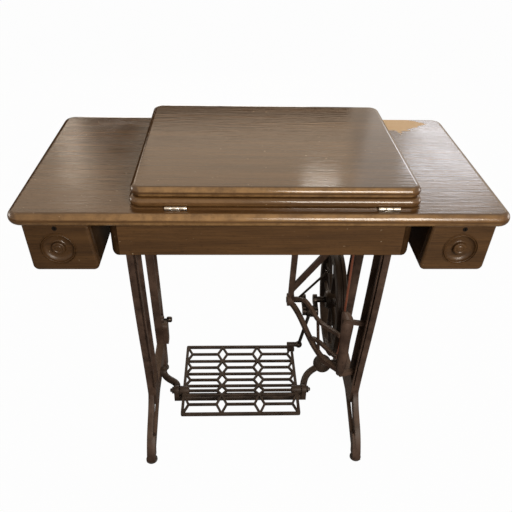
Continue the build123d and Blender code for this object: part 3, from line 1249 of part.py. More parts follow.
def main():
    os.makedirs("parts", exist_ok=True)
    pieces = {
        "tabletop": tabletop(), "apron": apron(), "back_board": back_board(),
        "lid_lower_board": lid_lower_board(), "lid_upper_board": lid_upper_board(),
        "hinge_table_leaves": hinge_table_leaves(), "hinge_lid_leaves": hinge_lid_leaves(),
        "hinge_pins": hinge_pins(),
        "frame_left": frame_left(), "frame_right": frame_right(), "foot_glides": foot_glides(),
        "frame_screws": frame_screws(), "frame_bolts": frame_bolts(), "tie_bar": tie_bar(),
        "lock_knob": lock_knob(), "cross_bar": cross_bar(), "pivot_screws": pivot_screws(),
        "treadle": treadle(),
        "pitman_rod": pitman_rod(), "crankshaft": crankshaft(), "flywheel": flywheel(),
        "shaft_bushes": shaft_bushes(), "wheel_hanger": wheel_hanger(),
        "guard_bracket": guard_bracket(), "belt_guide": belt_guide(), "belt": belt(),
    }
    pieces |= both(side_board(), "side_board")
    pieces |= both(drawer_case(), "drawer_case")
    pieces |= both(drawer_box(), "drawer_box")
    pieces |= both(drawer_front(), "drawer_front")
    pieces |= both(drawer_pull(), "drawer_pull")
    pieces |= both(drawer_lock(), "drawer_lock")
    head = [head_bed, head_arm, face_plate, arm_shaft, handwheel, clutch_knob, needle_bar, needle,
            presser_bar, presser_foot, presser_lever, take_up_lever, tension_dial, stitch_lever,
            spool_pins, needle_plate, slide_plate, feed_dog, shuttle_race, shuttle_hook]
    pieces |= {make.__name__: FOLD * make() for make in head}
    pieces["head_hinges"] = head_hinges()
    for name, shape in pieces.items():
        export_step(shape, f"parts/{name}.step")


main()
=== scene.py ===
import math

import bmesh
import bpy
from mathutils import Matrix, Vector


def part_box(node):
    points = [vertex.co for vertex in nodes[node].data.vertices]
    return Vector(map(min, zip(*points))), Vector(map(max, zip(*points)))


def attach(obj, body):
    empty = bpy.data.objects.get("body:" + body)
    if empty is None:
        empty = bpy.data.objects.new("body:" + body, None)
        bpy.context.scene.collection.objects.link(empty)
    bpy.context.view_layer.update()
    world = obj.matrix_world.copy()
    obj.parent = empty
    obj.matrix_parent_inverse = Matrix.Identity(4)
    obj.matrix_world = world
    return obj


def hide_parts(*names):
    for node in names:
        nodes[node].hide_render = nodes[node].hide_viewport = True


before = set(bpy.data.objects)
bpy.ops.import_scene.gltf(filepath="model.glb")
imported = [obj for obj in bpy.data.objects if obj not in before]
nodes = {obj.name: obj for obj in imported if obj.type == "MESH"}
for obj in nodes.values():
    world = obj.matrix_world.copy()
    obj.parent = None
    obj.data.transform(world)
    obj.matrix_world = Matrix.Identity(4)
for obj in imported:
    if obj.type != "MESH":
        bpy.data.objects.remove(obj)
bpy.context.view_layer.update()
MM = 0.001

# Eased edges: the usual width and that of fine pieces, the angle from which an edge counts as sharp,
# and the gap that is closed along the seams first
EDGE_EASE = 0.6 * MM
SMALL_EASE = 0.15 * MM
SHARP_ANGLE = math.radians(35)
SEAM_GAP = 0.01 * MM

# Walnut: tone of the stained ground, and of the edges, golden from wear and from a painted highlight
WALNUT_GROUND = "#4d351e"
WALNUT_RUBBED_AND_HIGHLIGHT = "#9a784d"

# Walnut patterns: name, length along the grain and width across it in mm, lean in degrees, detail and
# roughness. Pores and hair scratches are drawn a millimetre wide, because real ones are too fine to show.
WALNUT_PATTERNS = (
    ("figure", 380, 24, 0, 5, 0.5),
    ("streaks", 120, 2.4, 0, 6, 0.65),
    ("pores", 12, 1.2, 0, 2, 0.5),
    ("scratches", 160, 1.1, 33, 2, 0.5),
    ("cross_scratches", 120, 1.1, -58, 2, 0.5),
    ("nicks", 7, 5, 0, 2, 0.5),
    ("scuffs", 22, 22, 0, 7, 0.7),
    ("smears", 70, 70, 0, 4, 0.5),
    ("ripple", 55, 6.5, 0, 3, 0.5),
    ("ragged", 60, 22, 0, 7, 0.65),
)

# Stain over the walnut's ground tone: pattern, where the layer starts and is full, how much of it, tone
WALNUT_LAYERS = (
    ("figure", 0.3, 0.7, 1, "#65482a"),
    ("streaks", 0.4, 0.72, 0.6, "#2c1c0c"),
    ("pores", 0.58, 0.72, 0.5, "#20140a"),
    ("scratches", 0.68, 0.72, 0.2, "#8a765e"),
    ("cross_scratches", 0.69, 0.73, 0.2, "#8a765e"),
    ("nicks", 0.74, 0.77, 0.7, "#b7a58c"),
)

# Relief of the sunk lacquer: share of the streaks beside the ripple, and its depth
STREAK_RELIEF = 0.5
LACQUER_DEPTH = 0.4 * MM

# Patch rubbed through to bare wood at the rear right of the table: low and high corner in mm, two tones,
# roughness, how strongly the grain frays its outline, and where that outline starts and ends
BARE_PATCH = ((258, 141), (412, 267))
BARE_PALE = "#ecd0a4"
BARE_STREAK = "#cda673"
BARE_ROUGHNESS = 0.55
BARE_FRAY = 1.2
BARE_OUTLINE = (1.5, 1.56)

# Belt: its thickness as a share of the CAD belt's, how far that wanders and in which two waves (radians
# a step), its share at the butt, its steps on wheel, pulley and each run, and its sides
BELT_FULLNESS = 0.97
BELT_WANDER = 0.025
BELT_WAVES = (0.37, 0.11)
BUTT_THICKNESS = 0.82
WHEEL_STEPS, PULLEY_STEPS, RUN_STEPS = 90, 40, 60
BELT_SIDES = 14

# Wire staple of the belt's joint: length, wire radius, how far it stands off the leather, how much of
# its leg is straight and of its length each bend takes, and the wire's sides
STAPLE_LENGTH = 13 * MM
STAPLE_WIRE = 0.8 * MM
STAPLE_PROUD = 0.5 * MM
STAPLE_LEG = 0.7
STAPLE_BEND = 0.12
STAPLE_SIDES = 10

# Floor: its side in m, and how much of it glows white for the camera and in reflections
FLOOR_SIDE = 14
FLOOR_GLOW_SEEN = 0.98
FLOOR_GLOW_MIRRORED = 0.05

# Room light on the object, as a share of the white that the camera and the gloss see
ROOM_FILL = 0.18

# Lamps: name, place and aim in m, width and height in m, power in W, tint. The key and the fills light
# the object. The others are low and show in the gloss, as a window and lamps of a room do.
LAMPS = (
    ("key", (0.8, -2.3, 1.75), (0, 0, 0.45), (1.1, 1.1), 66, "#fff6ea"),
    ("rear_panel", (-0.9, 3.2, 2.85), (0, 0, 0.75), (4.2, 1.5), 11.5, "#ffdab0"),
    ("window", (1.42, 2.5, 1.8), (0.37, 0, 0.73), (0.6, 0.46), 4.2, "#f3f6ff"),
    ("window_strip", (-1.26, 3.0, 2.0), (-0.42, 0.1, 0.73), (0.13, 0.62), 0.85, "#ffeeda"),
    ("window_wall", (1.65, 2.7, 2.2), (0.37, 0, 0.73), (1.6, 1.8), 6, "#f6f2ee"),
    ("back_fill", (-0.3, 3.0, 0.75), (0, 0, 0.5), (1.6, 0.9), 22, "#fff8f0"),
    ("left_fill", (-3.0, 0.6, 1.0), (0, 0, 0.5), (1.2, 1.2), 18, "#fff8f0"),
    ("right_fill", (3.0, 0.6, 1.0), (0, 0, 0.5), (1.2, 1.2), 18, "#fff8f0"),
    ("ceiling_lamp", (0.57, 2.6, 2.27), (0.1, -0.19, 0.77), (0.24, 0.1), 0.6, "#fff8ee"),
)

# Dark cards behind the object: name, middle in m, width and height in m
FLAGS = (
    ("wide_flag", (-1.5, 3.5, 1.02), (4.8, 2.04)),
    ("narrow_flag", (-0.93, 3.1, 1.12), (0.32, 2.24)),
)

# Camera: place in m, the picture's right and up, sensor width and focal length in mm
CAMERA_PLACE = (-0.0535, -1.1446, 1.2581)
CAMERA_RIGHT = (0.9992, -0.0318, 0.0221)
CAMERA_UP = (-0.0005, 0.5596, 0.8287)
SENSOR_WIDTH = 36
FOCAL_LENGTH = 41.61


def tone(code, shade=1.0):
    """Linear colour of an sRGB hex value, darkened by a shade below 1."""
    parts = [int(code[i:i + 2], 16) / 255 for i in (1, 3, 5)]
    linear = [v / 12.92 if v <= 0.04045 else ((v + 0.055) / 1.055) ** 2.4 for v in parts]
    return tuple(v * shade for v in linear) + (1.0,)


def fill(tree, node, inputs):
    """Sets a node's inputs to numbers, or links them to what other nodes give."""
    for key, value in inputs.items():
        if isinstance(value, bpy.types.NodeSocket):
            tree.links.new(value, node.inputs[key])
        else:
            node.inputs[key].default_value = value


def add(tree, kind, inputs=None, **settings):
    """Adds a node with its settings and fills its inputs."""
    node = tree.nodes.new(kind)
    for key, value in settings.items():
        setattr(node, key, value)
    fill(tree, node, inputs or {})
    return node


def new_material(name):
    """Plain new material; returns it with its node tree and its Principled shader."""
    material = bpy.data.materials.new(name)
    material.use_nodes = True
    tree = material.node_tree
    return material, tree, tree.nodes["Principled BSDF"]


def stained_walnut(name, grain="X", edge_wear_and_highlight=0.0, bare=None, gloss=(0.15, 0.24), sunk=0.25, shine=0.5,
                   shade=1.0):
    """Walnut veneer, stained dark and sprayed with lacquer.

    Fine streaks and pores run along the grain, the rounded edges are painted a golden brown, partly as
    wear and partly as a painted highlight of the lamps, and the lacquer has sunk into the grain, so that
    a reflected window breaks up along it. Hair scratches and small nicks show paler.
    edge_wear_and_highlight is how far the edges take that golden tone of wear and painted highlight, and
    bare is the low and high corner, in mm, of a patch of wear right through to pale wood. gloss is the
    lowest and highest roughness, sunk is how far the lacquer has sunk, a low shine is stain with little
    lacquer left on it, and a shade below 1 darkens the whole stain.
    """
    material, tree, shader = new_material(name)
    place = add(tree, "ShaderNodeTexCoord").outputs["Object"]

    pattern = {}
    for key, long_mm, wide_mm, lean, detail, roughness in WALNUT_PATTERNS:
        if key == "ragged" and not bare:
            continue
        leaning = add(tree, "ShaderNodeMapping", {"Vector": place, "Rotation": (0, 0, math.radians(lean))})
        scale = [1 / (MM * (long_mm if letter == grain else wide_mm)) for letter in "XYZ"]
        scaled = add(tree, "ShaderNodeMapping", {"Vector": leaning.outputs[0], "Scale": scale})
        noise = add(tree, "ShaderNodeTexNoise", {"Vector": scaled.outputs[0], "Scale": 1, "Detail": detail,
                                                 "Roughness": roughness})
        pattern[key] = noise.outputs["Fac"]

    colour = tone(WALNUT_GROUND, shade)
    for key, low, high, most, code in WALNUT_LAYERS:
        share = add(tree, "ShaderNodeMapRange", {"Value": pattern[key], "From Min": low, "From Max": high,
                                                 "To Max": most}, interpolation_type="SMOOTHSTEP")
        colour = add(tree, "ShaderNodeMix", {"Factor": share.outputs[0], "A": colour,
                                             "B": tone(code, shade)}, data_type="RGBA").outputs["Result"]

    # Golden edges, partly wear and partly a painted highlight of the lamps: where the surface turns away
    # from level and from upright, most of all in the middle, where the arms rest. End grain drinks more
    # stain and stays dark. Each row gives a measure, the span of it that counts, and how much of the golden
    # tone goes on at either end of that span.
    geometry = add(tree, "ShaderNodeNewGeometry")
    facing = add(tree, "ShaderNodeSeparateXYZ", {"Vector": geometry.outputs["Normal"]})
    axis = add(tree, "ShaderNodeSeparateXYZ", {"Vector": place})
    level = add(tree, "ShaderNodeMath", {0: facing.outputs["Z"]}, operation="ABSOLUTE").outputs[0]
    ends = add(tree, "ShaderNodeMath", {0: facing.outputs[grain]}, operation="ABSOLUTE").outputs[0]
    aside = add(tree, "ShaderNodeMath", {0: axis.outputs["X"]}, operation="ABSOLUTE").outputs[0]
    rubbed_and_highlit = edge_wear_and_highlight
    for measure, low, high, first, last in ((level, 0.03, 0.3, 0, 1),
                                            (level, 0.9, 0.995, 1, 0),
                                            (ends, 0.06, 0.3, 1, 0.05),
                                            (aside, 0.15, 0.43, 1, 0.5),
                                            (pattern["scuffs"], 0.3, 0.65, 0.35, 1)):
        share = add(tree, "ShaderNodeMapRange", {"Value": measure, "From Min": low, "From Max": high,
                                                 "To Min": first, "To Max": last},
                    interpolation_type="SMOOTHSTEP")
        rubbed_and_highlit = add(tree, "ShaderNodeMath", {0: share.outputs[0], 1: rubbed_and_highlit},
                     operation="MULTIPLY").outputs[0]
    colour = add(tree, "ShaderNodeMix", {"Factor": rubbed_and_highlit, "A": colour, "B": tone(WALNUT_RUBBED_AND_HIGHLIGHT)},
                 data_type="RGBA").outputs["Result"]
    rough = add(tree, "ShaderNodeMapRange", {"Value": pattern["smears"], "From Min": 0.3, "From Max": 0.7,
                                             "To Min": gloss[0], "To Max": gloss[1]}).outputs[0]

    # Bare patch: the distances from its middle along and across the table, in halves of its size, add up
    # to a diamond, which the grain frays
    if bare:
        away = []
        for letter, low, high in zip("XY", *bare):
            offset = add(tree, "ShaderNodeMath", {0: axis.outputs[letter], 1: (high + low) / 2 * MM},
                         operation="SUBTRACT")
            halves = add(tree, "ShaderNodeMath", {0: offset.outputs[0], 1: (high - low) / 2 * MM},
                         operation="DIVIDE")
            away.append(add(tree, "ShaderNodeMath", {0: halves.outputs[0]}, operation="ABSOLUTE"))
        diamond = add(tree, "ShaderNodeMath", {0: away[0].outputs[0], 1: away[1].outputs[0]},
                      operation="ADD")
        frayed = add(tree, "ShaderNodeMath", {0: pattern["ragged"], 1: BARE_FRAY, 2: diamond.outputs[0]},
                     operation="MULTIPLY_ADD")
        inside = add(tree, "ShaderNodeMapRange", {"Value": frayed.outputs[0], "From Min": BARE_OUTLINE[0],
                                                  "From Max": BARE_OUTLINE[1], "To Min": 1, "To Max": 0})
        upward = add(tree, "ShaderNodeMapRange", {"Value": facing.outputs["Z"], "From Min": 0.1,
                                                  "From Max": 0.5}, interpolation_type="SMOOTHSTEP")
        patch = add(tree, "ShaderNodeMath", {0: inside.outputs[0], 1: upward.outputs[0]},
                    operation="MULTIPLY").outputs[0]
        pale = add(tree, "ShaderNodeMix", {"Factor": pattern["streaks"], "A": tone(BARE_PALE),
                                           "B": tone(BARE_STREAK)}, data_type="RGBA").outputs["Result"]
        colour = add(tree, "ShaderNodeMix", {"Factor": patch, "A": colour, "B": pale},
                     data_type="RGBA").outputs["Result"]
        rough = add(tree, "ShaderNodeMix", {"Factor": patch, "A": rough,
                                            "B": BARE_ROUGHNESS}).outputs["Result"]

    height = add(tree, "ShaderNodeMath", {0: pattern["streaks"], 1: STREAK_RELIEF, 2: pattern["ripple"]},
                 operation="MULTIPLY_ADD")
    bump = add(tree, "ShaderNodeBump", {"Height": height.outputs[0], "Strength": sunk,
                                        "Distance": LACQUER_DEPTH})
    fill(tree, shader, {"Base Color": colour, "Roughness": rough, "Normal": bump.outputs[0],
                        "Specular IOR Level": shine})
    return material


def plain_beech():
    """Unfinished beech of the drawer boxes: pale, matt, with short darker flecks along the grain.

    The flecks are drawn 3 mm wide, because real ones are too fine to show.
    """
    material, tree, shader = new_material("plain_beech")
    place = add(tree, "ShaderNodeTexCoord").outputs["Object"]
    grain = add(tree, "ShaderNodeMapping", {"Vector": place,
                                            "Scale": (1 / (3 * MM), 1 / (120 * MM), 1 / (3 * MM))})
    flecks = add(tree, "ShaderNodeTexNoise", {"Vector": grain.outputs[0], "Scale": 1, "Detail": 6})
    colour = add(tree, "ShaderNodeMix", {"Factor": flecks.outputs["Fac"], "A": tone("#c39a6b"),
                                         "B": tone("#94693f")}, data_type="RGBA")
    bump = add(tree, "ShaderNodeBump", {"Height": flecks.outputs["Fac"], "Strength": 0.2,
                                        "Distance": 0.4 * MM})
    fill(tree, shader, {"Base Color": colour.outputs["Result"], "Roughness": 0.65,
                        "Normal": bump.outputs[0]})
    return material


def enamelled_iron(name, deep, lit, dusty=0.2):
    """Cast iron brushed with enamel: grainy from the sand mould, chipped dark, with dust on top.

    deep and lit are the tones of the enamel's clouds, and dusty is how thickly the dust lies. The sand's
    grain is drawn 2 mm wide, because the real one is too fine to show.
    """
    material, tree, shader = new_material(name)
    place = add(tree, "ShaderNodeTexCoord").outputs["Object"]
    sand = add(tree, "ShaderNodeTexNoise", {"Vector": place, "Scale": 1 / (2.2 * MM), "Detail": 4,
                                            "Roughness": 0.6})
    cloud = add(tree, "ShaderNodeTexNoise", {"Vector": place, "Scale": 1 / (38 * MM), "Detail": 5})
    chips = add(tree, "ShaderNodeTexNoise", {"Vector": place, "Scale": 1 / (9 * MM), "Detail": 6,
                                             "Roughness": 0.75})
    geometry = add(tree, "ShaderNodeNewGeometry")
    facing = add(tree, "ShaderNodeSeparateXYZ", {"Vector": geometry.outputs["Normal"]})

    # Over the deep tone: the lit clouds, the chips and the dust, each with where it starts and is full,
    # how much of it, and its tone
    colour = tone(deep)
    for value, low, high, most, code in ((cloud.outputs["Fac"], 0.35, 0.68, 1, lit),
                                         (chips.outputs["Fac"], 0.56, 0.66, 0.65, "#19120f"),
                                         (facing.outputs["Z"], 0.55, 1, dusty, "#7d6a57")):
        share = add(tree, "ShaderNodeMapRange", {"Value": value, "From Min": low, "From Max": high,
                                                 "To Max": most})
        colour = add(tree, "ShaderNodeMix", {"Factor": share.outputs[0], "A": colour, "B": tone(code)},
                     data_type="RGBA").outputs["Result"]
    rough = add(tree, "ShaderNodeMapRange", {"Value": cloud.outputs["Fac"], "From Min": 0.3,
                                             "From Max": 0.7, "To Min": 0.36, "To Max": 0.52})
    bump = add(tree, "ShaderNodeBump", {"Height": sand.outputs["Fac"], "Strength": 0.25,
                                        "Distance": 0.5 * MM})
    fill(tree, shader, {"Base Color": colour, "Roughness": rough.outputs[0], "Normal": bump.outputs[0],
                        "Specular IOR Level": 0.16})
    return material


def oiled_metal(name, bright, dull, rough_low, rough_high, brush=(6, 6, 6)):
    """Ground or plated metal: a slight unevenness in its mirror, and a duller film of oil in clouds.

    brush is the size in mm of that unevenness along each axis. Brushed lines are drawn nearly a
    millimetre wide, because real ones are too fine to show.
    """
    material, tree, shader = new_material(name)
    place = add(tree, "ShaderNodeTexCoord").outputs["Object"]
    stretch = add(tree, "ShaderNodeMapping", {"Vector": place, "Scale": [1 / (v * MM) for v in brush]})
    lines = add(tree, "ShaderNodeTexNoise", {"Vector": stretch.outputs[0], "Scale": 1, "Detail": 3})
    film = add(tree, "ShaderNodeTexNoise", {"Vector": place, "Scale": 1 / (14 * MM), "Detail": 5,
                                            "Roughness": 0.65})
    share = add(tree, "ShaderNodeMapRange", {"Value": film.outputs["Fac"], "From Min": 0.35,
                                             "From Max": 0.7})
    colour = add(tree, "ShaderNodeMix", {"Factor": share.outputs[0], "A": tone(bright), "B": tone(dull)},
                 data_type="RGBA")
    rough = add(tree, "ShaderNodeMapRange", {"Value": film.outputs["Fac"], "From Min": 0.3, "From Max": 0.7,
                                             "To Min": rough_low, "To Max": rough_high})
    bump = add(tree, "ShaderNodeBump", {"Height": lines.outputs["Fac"], "Strength": 0.08,
                                        "Distance": 0.2 * MM})
    fill(tree, shader, {"Base Color": colour.outputs["Result"], "Roughness": rough.outputs[0],
                        "Normal": bump.outputs[0], "Metallic": 1.0})
    return material


def black_japan():
    """Stoved black japan of the machine head: deep gloss with a faint orange peel and fine wear."""
    material, tree, shader = new_material("black_japan")
    place = add(tree, "ShaderNodeTexCoord").outputs["Object"]
    peel = add(tree, "ShaderNodeTexNoise", {"Vector": place, "Scale": 1 / (5 * MM), "Detail": 2})
    wear = add(tree, "ShaderNodeTexNoise", {"Vector": place, "Scale": 1 / (30 * MM), "Detail": 6,
                                            "Roughness": 0.7})
    colour = add(tree, "ShaderNodeMix", {"Factor": wear.outputs["Fac"], "A": tone("#0b0a0a"),
                                         "B": tone("#1c1815")}, data_type="RGBA")
    rough = add(tree, "ShaderNodeMapRange", {"Value": wear.outputs["Fac"], "From Min": 0.3,
                                             "From Max": 0.75, "To Min": 0.1, "To Max": 0.32})
    bump = add(tree, "ShaderNodeBump", {"Height": peel.outputs["Fac"], "Strength": 0.06,
                                        "Distance": 0.3 * MM})
    fill(tree, shader, {"Base Color": colour.outputs["Result"], "Roughness": rough.outputs[0],
                        "Normal": bump.outputs[0]})
    return material


def belt_leather():
    """Round vegetable-tanned leather belting: red-brown, burnished by the pulleys, with a fine grain.

    The grain is drawn in pebbles of 1.4 mm, because real ones are too fine to show.
    """
    material, tree, shader = new_material("belt_leather")
    place = add(tree, "ShaderNodeTexCoord").outputs["Object"]
    pebble = add(tree, "ShaderNodeTexVoronoi", {"Vector": place, "Scale": 1 / (1.4 * MM)})
    cloud = add(tree, "ShaderNodeTexNoise", {"Vector": place, "Scale": 1 / (25 * MM), "Detail": 5})
    colour = add(tree, "ShaderNodeMix", {"Factor": cloud.outputs["Fac"], "A": tone("#5c2b1c"),
                                         "B": tone("#8a5440")}, data_type="RGBA")
    rough = add(tree, "ShaderNodeMapRange", {"Value": cloud.outputs["Fac"], "From Min": 0.3,
                                             "From Max": 0.7, "To Min": 0.28, "To Max": 0.46})
    bump = add(tree, "ShaderNodeBump", {"Height": pebble.outputs["Distance"], "Strength": 0.25,
                                        "Distance": 0.3 * MM})
    fill(tree, shader, {"Base Color": colour.outputs["Result"], "Roughness": rough.outputs[0],
                        "Normal": bump.outputs[0]})
    return material


def moulded_black():
    """Moulded black plastic of the foot glides: dull, and scuffed grey in patches."""
    material, tree, shader = new_material("moulded_black")
    place = add(tree, "ShaderNodeTexCoord").outputs["Object"]
    scuff = add(tree, "ShaderNodeTexNoise", {"Vector": place, "Scale": 1 / (6 * MM), "Detail": 6})
    colour = add(tree, "ShaderNodeMix", {"Factor": scuff.outputs["Fac"], "A": tone("#15130f"),
                                         "B": tone("#38332c")}, data_type="RGBA")
    bump = add(tree, "ShaderNodeBump", {"Height": scuff.outputs["Fac"], "Strength": 0.2,
                                        "Distance": 0.3 * MM})
    fill(tree, shader, {"Base Color": colour.outputs["Result"], "Roughness": 0.55,
                        "Normal": bump.outputs[0]})
    return material


def finish_nodes(material, *names, easing=EDGE_EASE):
    """Gives CAD nodes a material, closes their seams and eases their sharp edges."""
    for name in names:
        piece = nodes[name]
        piece.data.materials.clear()
        piece.data.materials.append(material)
        weld = piece.modifiers.new("weld", "WELD")
        weld.merge_threshold = SEAM_GAP
        ease = piece.modifiers.new("ease", "BEVEL")
        ease.width = easing
        ease.segments = 2
        ease.limit_method = "ANGLE"
        ease.angle_limit = SHARP_ANGLE
        ease.use_clamp_overlap = True


def tube(name, path, radii, closed, sides):
    """Mesh tube along a path in the belt's upright plane; open ends are capped."""
    mesh = bmesh.new()
    across = Vector((1, 0, 0))
    rings = []
    count = len(path)
    for i, point in enumerate(path):
        ahead = path[(i + 1) % count] if closed or i < count - 1 else point
        behind = path[i - 1] if closed or i else point
        normal = across.cross((ahead - behind).normalized())
        ring = []
        for k in range(sides):
            angle = 2 * math.pi * k / sides
            offset = radii[i] * (math.cos(angle) * across + math.sin(angle) * normal)
            ring.append(mesh.verts.new(point + offset))
        rings.append(ring)
    for i in range(count if closed else count - 1):
        ring, following = rings[i], rings[(i + 1) % count]
        for k in range(sides):
            after = (k + 1) % sides
            mesh.faces.new((ring[k], ring[after], following[after], following[k]))
    if not closed:
        mesh.faces.new(rings[0][::-1])
        mesh.faces.new(rings[-1])
    bmesh.ops.recalc_face_normals(mesh, faces=mesh.faces)
    data = bpy.data.meshes.new(name)
    mesh.to_mesh(data)
    mesh.free()
    data.polygons.foreach_set("use_smooth", [True] * len(data.polygons))
    piece = bpy.data.objects.new(name, data)
    bpy.context.scene.collection.objects.link(piece)
    return piece


def leather_belt():
    """Round leather belt round flywheel and handwheel, butted and held by a wire staple."""
    low, high = (Vector(corner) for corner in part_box("belt"))
    thick = (high.x - low.x) / 2
    plane = (high.x + low.x) / 2
    centres = []
    for name in ("flywheel", "handwheel"):
        near, far = (Vector(corner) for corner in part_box(name))
        centres.append((near + far) / 2)
    wheel, pulley = centres
    wheel_r = wheel.z - low.z - thick
    pulley_r = high.z - thick - pulley.z
    heading = math.atan2(pulley.z - wheel.z, pulley.y - wheel.y)
    distance = math.hypot(pulley.z - wheel.z, pulley.y - wheel.y)
    touch = math.acos((wheel_r - pulley_r) / distance)

    def on(centre, radius, angle):
        return Vector((plane, centre.y + radius * math.cos(angle), centre.z + radius * math.sin(angle)))

    def arc(centre, radius, start, end, count):
        return [on(centre, radius, start + (end - start) * i / count) for i in range(count + 1)]

    def run(start, end):
        return [start.lerp(end, i / RUN_STEPS) for i in range(1, RUN_STEPS)]

    round_wheel = arc(wheel, wheel_r, heading + touch, heading + 2 * math.pi - touch, WHEEL_STEPS)
    round_pulley = arc(pulley, pulley_r, heading - touch, heading + touch, PULLEY_STEPS)
    first_run = run(round_wheel[-1], round_pulley[0])
    path = round_wheel + first_run + round_pulley + run(round_pulley[-1], round_wheel[0])

    # Leather is never quite even: the thickness wanders by a few hundredths, and the butt is thinner
    radii = []
    for i in range(len(path)):
        wander = BELT_WANDER * math.sin(BELT_WAVES[0] * i) * math.sin(BELT_WAVES[1] * i)
        radii.append(thick * (BELT_FULLNESS + wander))
    butt = len(round_wheel) + len(first_run) // 2
    radii[butt] = BUTT_THICKNESS * thick
    belt = tube("leather_belt", path, radii, True, BELT_SIDES)

    along = (path[butt + 1] - path[butt - 1]).normalized()
    outward = Vector((1, 0, 0)).cross(along)
    if outward.y > 0:
        outward = -outward
    ends = [path[butt] + s * STAPLE_LENGTH / 2 * along for s in (-1, 1)]
    back = (thick + STAPLE_PROUD) * outward
    bridge = [ends[0], ends[0] + STAPLE_LEG * back, ends[0] + back + STAPLE_BEND * (ends[1] - ends[0]),
              ends[1] + back + STAPLE_BEND * (ends[0] - ends[1]), ends[1] + STAPLE_LEG * back, ends[1]]
    staple = tube("belt_staple", bridge, [STAPLE_WIRE] * len(bridge), False, STAPLE_SIDES)
    return belt, staple


# The third number is how far the rounded edges take the golden tone of wear and painted highlight.
top_wood = stained_walnut("lacquered_walnut_top", "X", 0.78, BARE_PATCH, gloss=(0.13, 0.22), sunk=0.85)
lid_wood = stained_walnut("lacquered_walnut_lid", "X", 0.74, gloss=(0.05, 0.11), sunk=0.4)
lower_lid_wood = stained_walnut("lacquered_walnut_lower_lid", "X", 0.22, gloss=(0.1, 0.18))
apron_wood = stained_walnut("satin_walnut_apron", "X", 0.3, gloss=(0.28, 0.42), shine=0.32, shade=0.78)
drawer_wood = stained_walnut("satin_walnut_drawer", "X", 0.05, gloss=(0.28, 0.42), shine=0.32, shade=0.66)
# Painted shade: the side boards and drawer cases are darkened to 0.3 of the walnut's tone, as if in the
# shadow under the table.
side_wood_painted_shade = stained_walnut("dull_walnut_side_painted_shade", "Y", 0.15, gloss=(0.45, 0.6), shine=0.06, shade=0.3)
brown_iron = enamelled_iron("brown_enamelled_iron", "#372a24", "#55443b")
worn_iron = enamelled_iron("foot_worn_iron", "#261e1a", "#40352e", 0.06)
dark_iron = enamelled_iron("dark_enamelled_iron", "#1a120e", "#2b1f18")
lock_iron = enamelled_iron("black_lock_iron", "#0a0807", "#15100d")
oiled_steel = oiled_metal("oiled_steel", "#4a4440", "#26211d", 0.3, 0.5)
zinc_steel = oiled_metal("zinc_plated_steel", "#d9d6cf", "#a8a299", 0.25, 0.42, (14, 0.8, 0.8))
bright_steel = oiled_metal("ground_steel", "#cfccc6", "#8f8a84", 0.18, 0.34)
nickel = oiled_metal("nickel_plate", "#d8d0c0", "#a89c86", 0.12, 0.28)
bronze = oiled_metal("bearing_bronze", "#c39a58", "#7d5a2c", 0.25, 0.45)

finish_nodes(top_wood, "tabletop")
finish_nodes(lid_wood, "lid_upper_board")
finish_nodes(lower_lid_wood, "lid_lower_board")
finish_nodes(apron_wood, "apron", "back_board")
finish_nodes(drawer_wood, "drawer_front_left", "drawer_front_right", "drawer_pull_left",
             "drawer_pull_right")
finish_nodes(side_wood_painted_shade, "side_board_left", "side_board_right", "drawer_case_left", "drawer_case_right")
finish_nodes(plain_beech(), "drawer_box_left", "drawer_box_right")
finish_nodes(brown_iron, "frame_left", "frame_right", "wheel_hanger", "guard_bracket")
finish_nodes(worn_iron, "treadle", "cross_bar")
finish_nodes(dark_iron, "flywheel", "tie_bar")
finish_nodes(lock_iron, "drawer_lock_left", "drawer_lock_right")
finish_nodes(oiled_steel, "crankshaft", "pitman_rod", "pivot_screws", "frame_bolts", "frame_screws",
             "belt_guide", "lock_knob")
finish_nodes(zinc_steel, "hinge_table_leaves", "hinge_lid_leaves", "hinge_pins", "head_hinges")
finish_nodes(bright_steel, "arm_shaft", "needle_bar", "needle", "presser_bar", "shuttle_hook",
             "shuttle_race", "feed_dog", "spool_pins")
finish_nodes(bright_steel, "presser_foot", easing=SMALL_EASE)
finish_nodes(nickel, "face_plate", "clutch_knob", "presser_lever", "take_up_lever", "tension_dial",
             "stitch_lever", "needle_plate", "slide_plate")
finish_nodes(bronze, "shaft_bushes")
finish_nodes(black_japan(), "head_bed", "head_arm", "handwheel")
finish_nodes(moulded_black(), "foot_glides")

belt_piece, staple_piece = leather_belt()
belt_piece.data.materials.append(belt_leather())
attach(belt_piece, "stand")
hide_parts("belt")
staple_piece.data.materials.append(bright_steel)
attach(staple_piece, "stand")


def pale_floor():
    """Matt paper floor: white to the camera, a trace of white in reflections, and it keeps the shadow."""
    bpy.ops.mesh.primitive_plane_add(size=FLOOR_SIDE, location=(0, 0, 0))
    floor = bpy.context.object
    floor.name = "floor"
    paper, tree, shader = new_material("pale_paper")
    fill(tree, shader, {"Base Color": tone("#8a857d"), "Roughness": 0.9})
    ray = add(tree, "ShaderNodeLightPath")
    glow = add(tree, "ShaderNodeEmission", {"Color": tone("#ffffff"), "Strength": 1})
    seen = add(tree, "ShaderNodeMath", {0: ray.outputs["Is Camera Ray"], 1: FLOOR_GLOW_SEEN},
               operation="MULTIPLY")
    mirrored = add(tree, "ShaderNodeMath", {0: ray.outputs["Is Glossy Ray"],
                                            1: ray.outputs["Is Transmission Ray"]}, operation="MAXIMUM")
    share = add(tree, "ShaderNodeMath", {0: mirrored.outputs[0], 1: FLOOR_GLOW_MIRRORED,
                                         2: seen.outputs[0]}, operation="MULTIPLY_ADD")
    mixed = add(tree, "ShaderNodeMixShader", {0: share.outputs[0], 1: shader.outputs[0],
                                              2: glow.outputs[0]})
    fill(tree, tree.nodes["Material Output"], {"Surface": mixed.outputs[0]})
    floor.data.materials.append(paper)


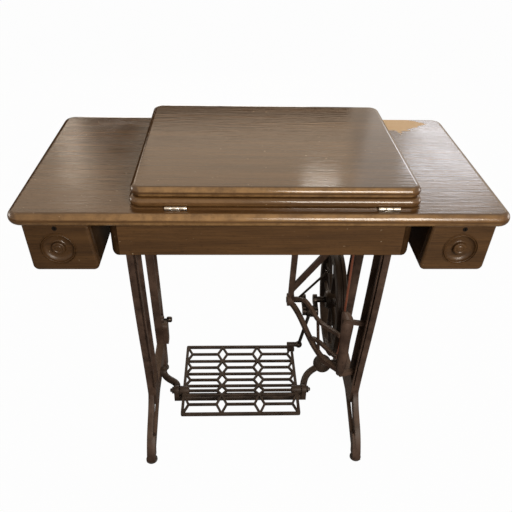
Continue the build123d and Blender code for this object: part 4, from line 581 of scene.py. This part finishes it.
def white_room():
    """World that is white to the camera, warm white in the gloss, and a low warm fill on the object."""
    world = bpy.data.worlds.new("white_room")
    bpy.context.scene.world = world
    world.use_nodes = True
    tree = world.node_tree
    ray = add(tree, "ShaderNodeLightPath")
    seen = add(tree, "ShaderNodeMath", {0: ray.outputs["Is Camera Ray"], 1: ray.outputs["Is Glossy Ray"]},
               operation="MAXIMUM")
    seen = add(tree, "ShaderNodeMath", {0: seen.outputs[0], 1: ray.outputs["Is Transmission Ray"]},
               operation="MAXIMUM")
    strength = add(tree, "ShaderNodeMapRange", {"Value": seen.outputs[0], "To Min": ROOM_FILL,
                                                "To Max": 1.0})
    tint = add(tree, "ShaderNodeMix", {"Factor": ray.outputs["Is Camera Ray"], "A": tone("#ffecd6"),
                                       "B": tone("#ffffff")}, data_type="RGBA")
    fill(tree, tree.nodes["Background"], {"Strength": strength.outputs[0], "Color": tint.outputs["Result"]})


def hang_lamps():
    """Area lamps of the studio, each turned to its aim."""
    for name, spot, aim, size, power, tint in LAMPS:
        lamp = bpy.data.lights.new(name, "AREA")
        lamp.shape = "RECTANGLE"
        lamp.size, lamp.size_y = size
        lamp.energy = power
        lamp.color = tone(tint)[:3]
        holder = bpy.data.objects.new(name, lamp)
        bpy.context.scene.collection.objects.link(holder)
        holder.location = spot
        holder.rotation_euler = (Vector(aim) - Vector(spot)).to_track_quat("-Z", "Y").to_euler()


def dark_flags():
    """Dark cloth cards, off camera, that keep the rear of the gloss wood from washing out."""
    cloth, tree, shader = new_material("dark_cloth")
    fill(tree, shader, {"Base Color": tone("#4a4038"), "Roughness": 0.9})
    for name, spot, size in FLAGS:
        bpy.ops.mesh.primitive_plane_add(size=1, location=spot, rotation=(math.pi / 2, 0, 0))
        card = bpy.context.object
        card.name = name
        card.scale = (size[0], size[1], 1)
        card.visible_camera = False
        card.data.materials.append(cloth)


def photo_camera():
    """Camera at the photograph's place and angle."""
    lens = bpy.data.cameras.new("photo_camera")
    lens.sensor_width = SENSOR_WIDTH
    lens.lens = FOCAL_LENGTH
    holder = bpy.data.objects.new("photo_camera", lens)
    bpy.context.scene.collection.objects.link(holder)
    right = Vector(CAMERA_RIGHT).normalized()
    up = Vector(CAMERA_UP).normalized()
    back = right.cross(up).normalized()
    up = back.cross(right)
    turn = Matrix((right, up, back)).transposed().to_4x4()
    holder.matrix_world = Matrix.Translation(CAMERA_PLACE) @ turn
    bpy.context.scene.camera = holder


pale_floor()
white_room()
hang_lamps()
dark_flags()
photo_camera()
bpy.context.scene.view_settings.view_transform = "Standard"
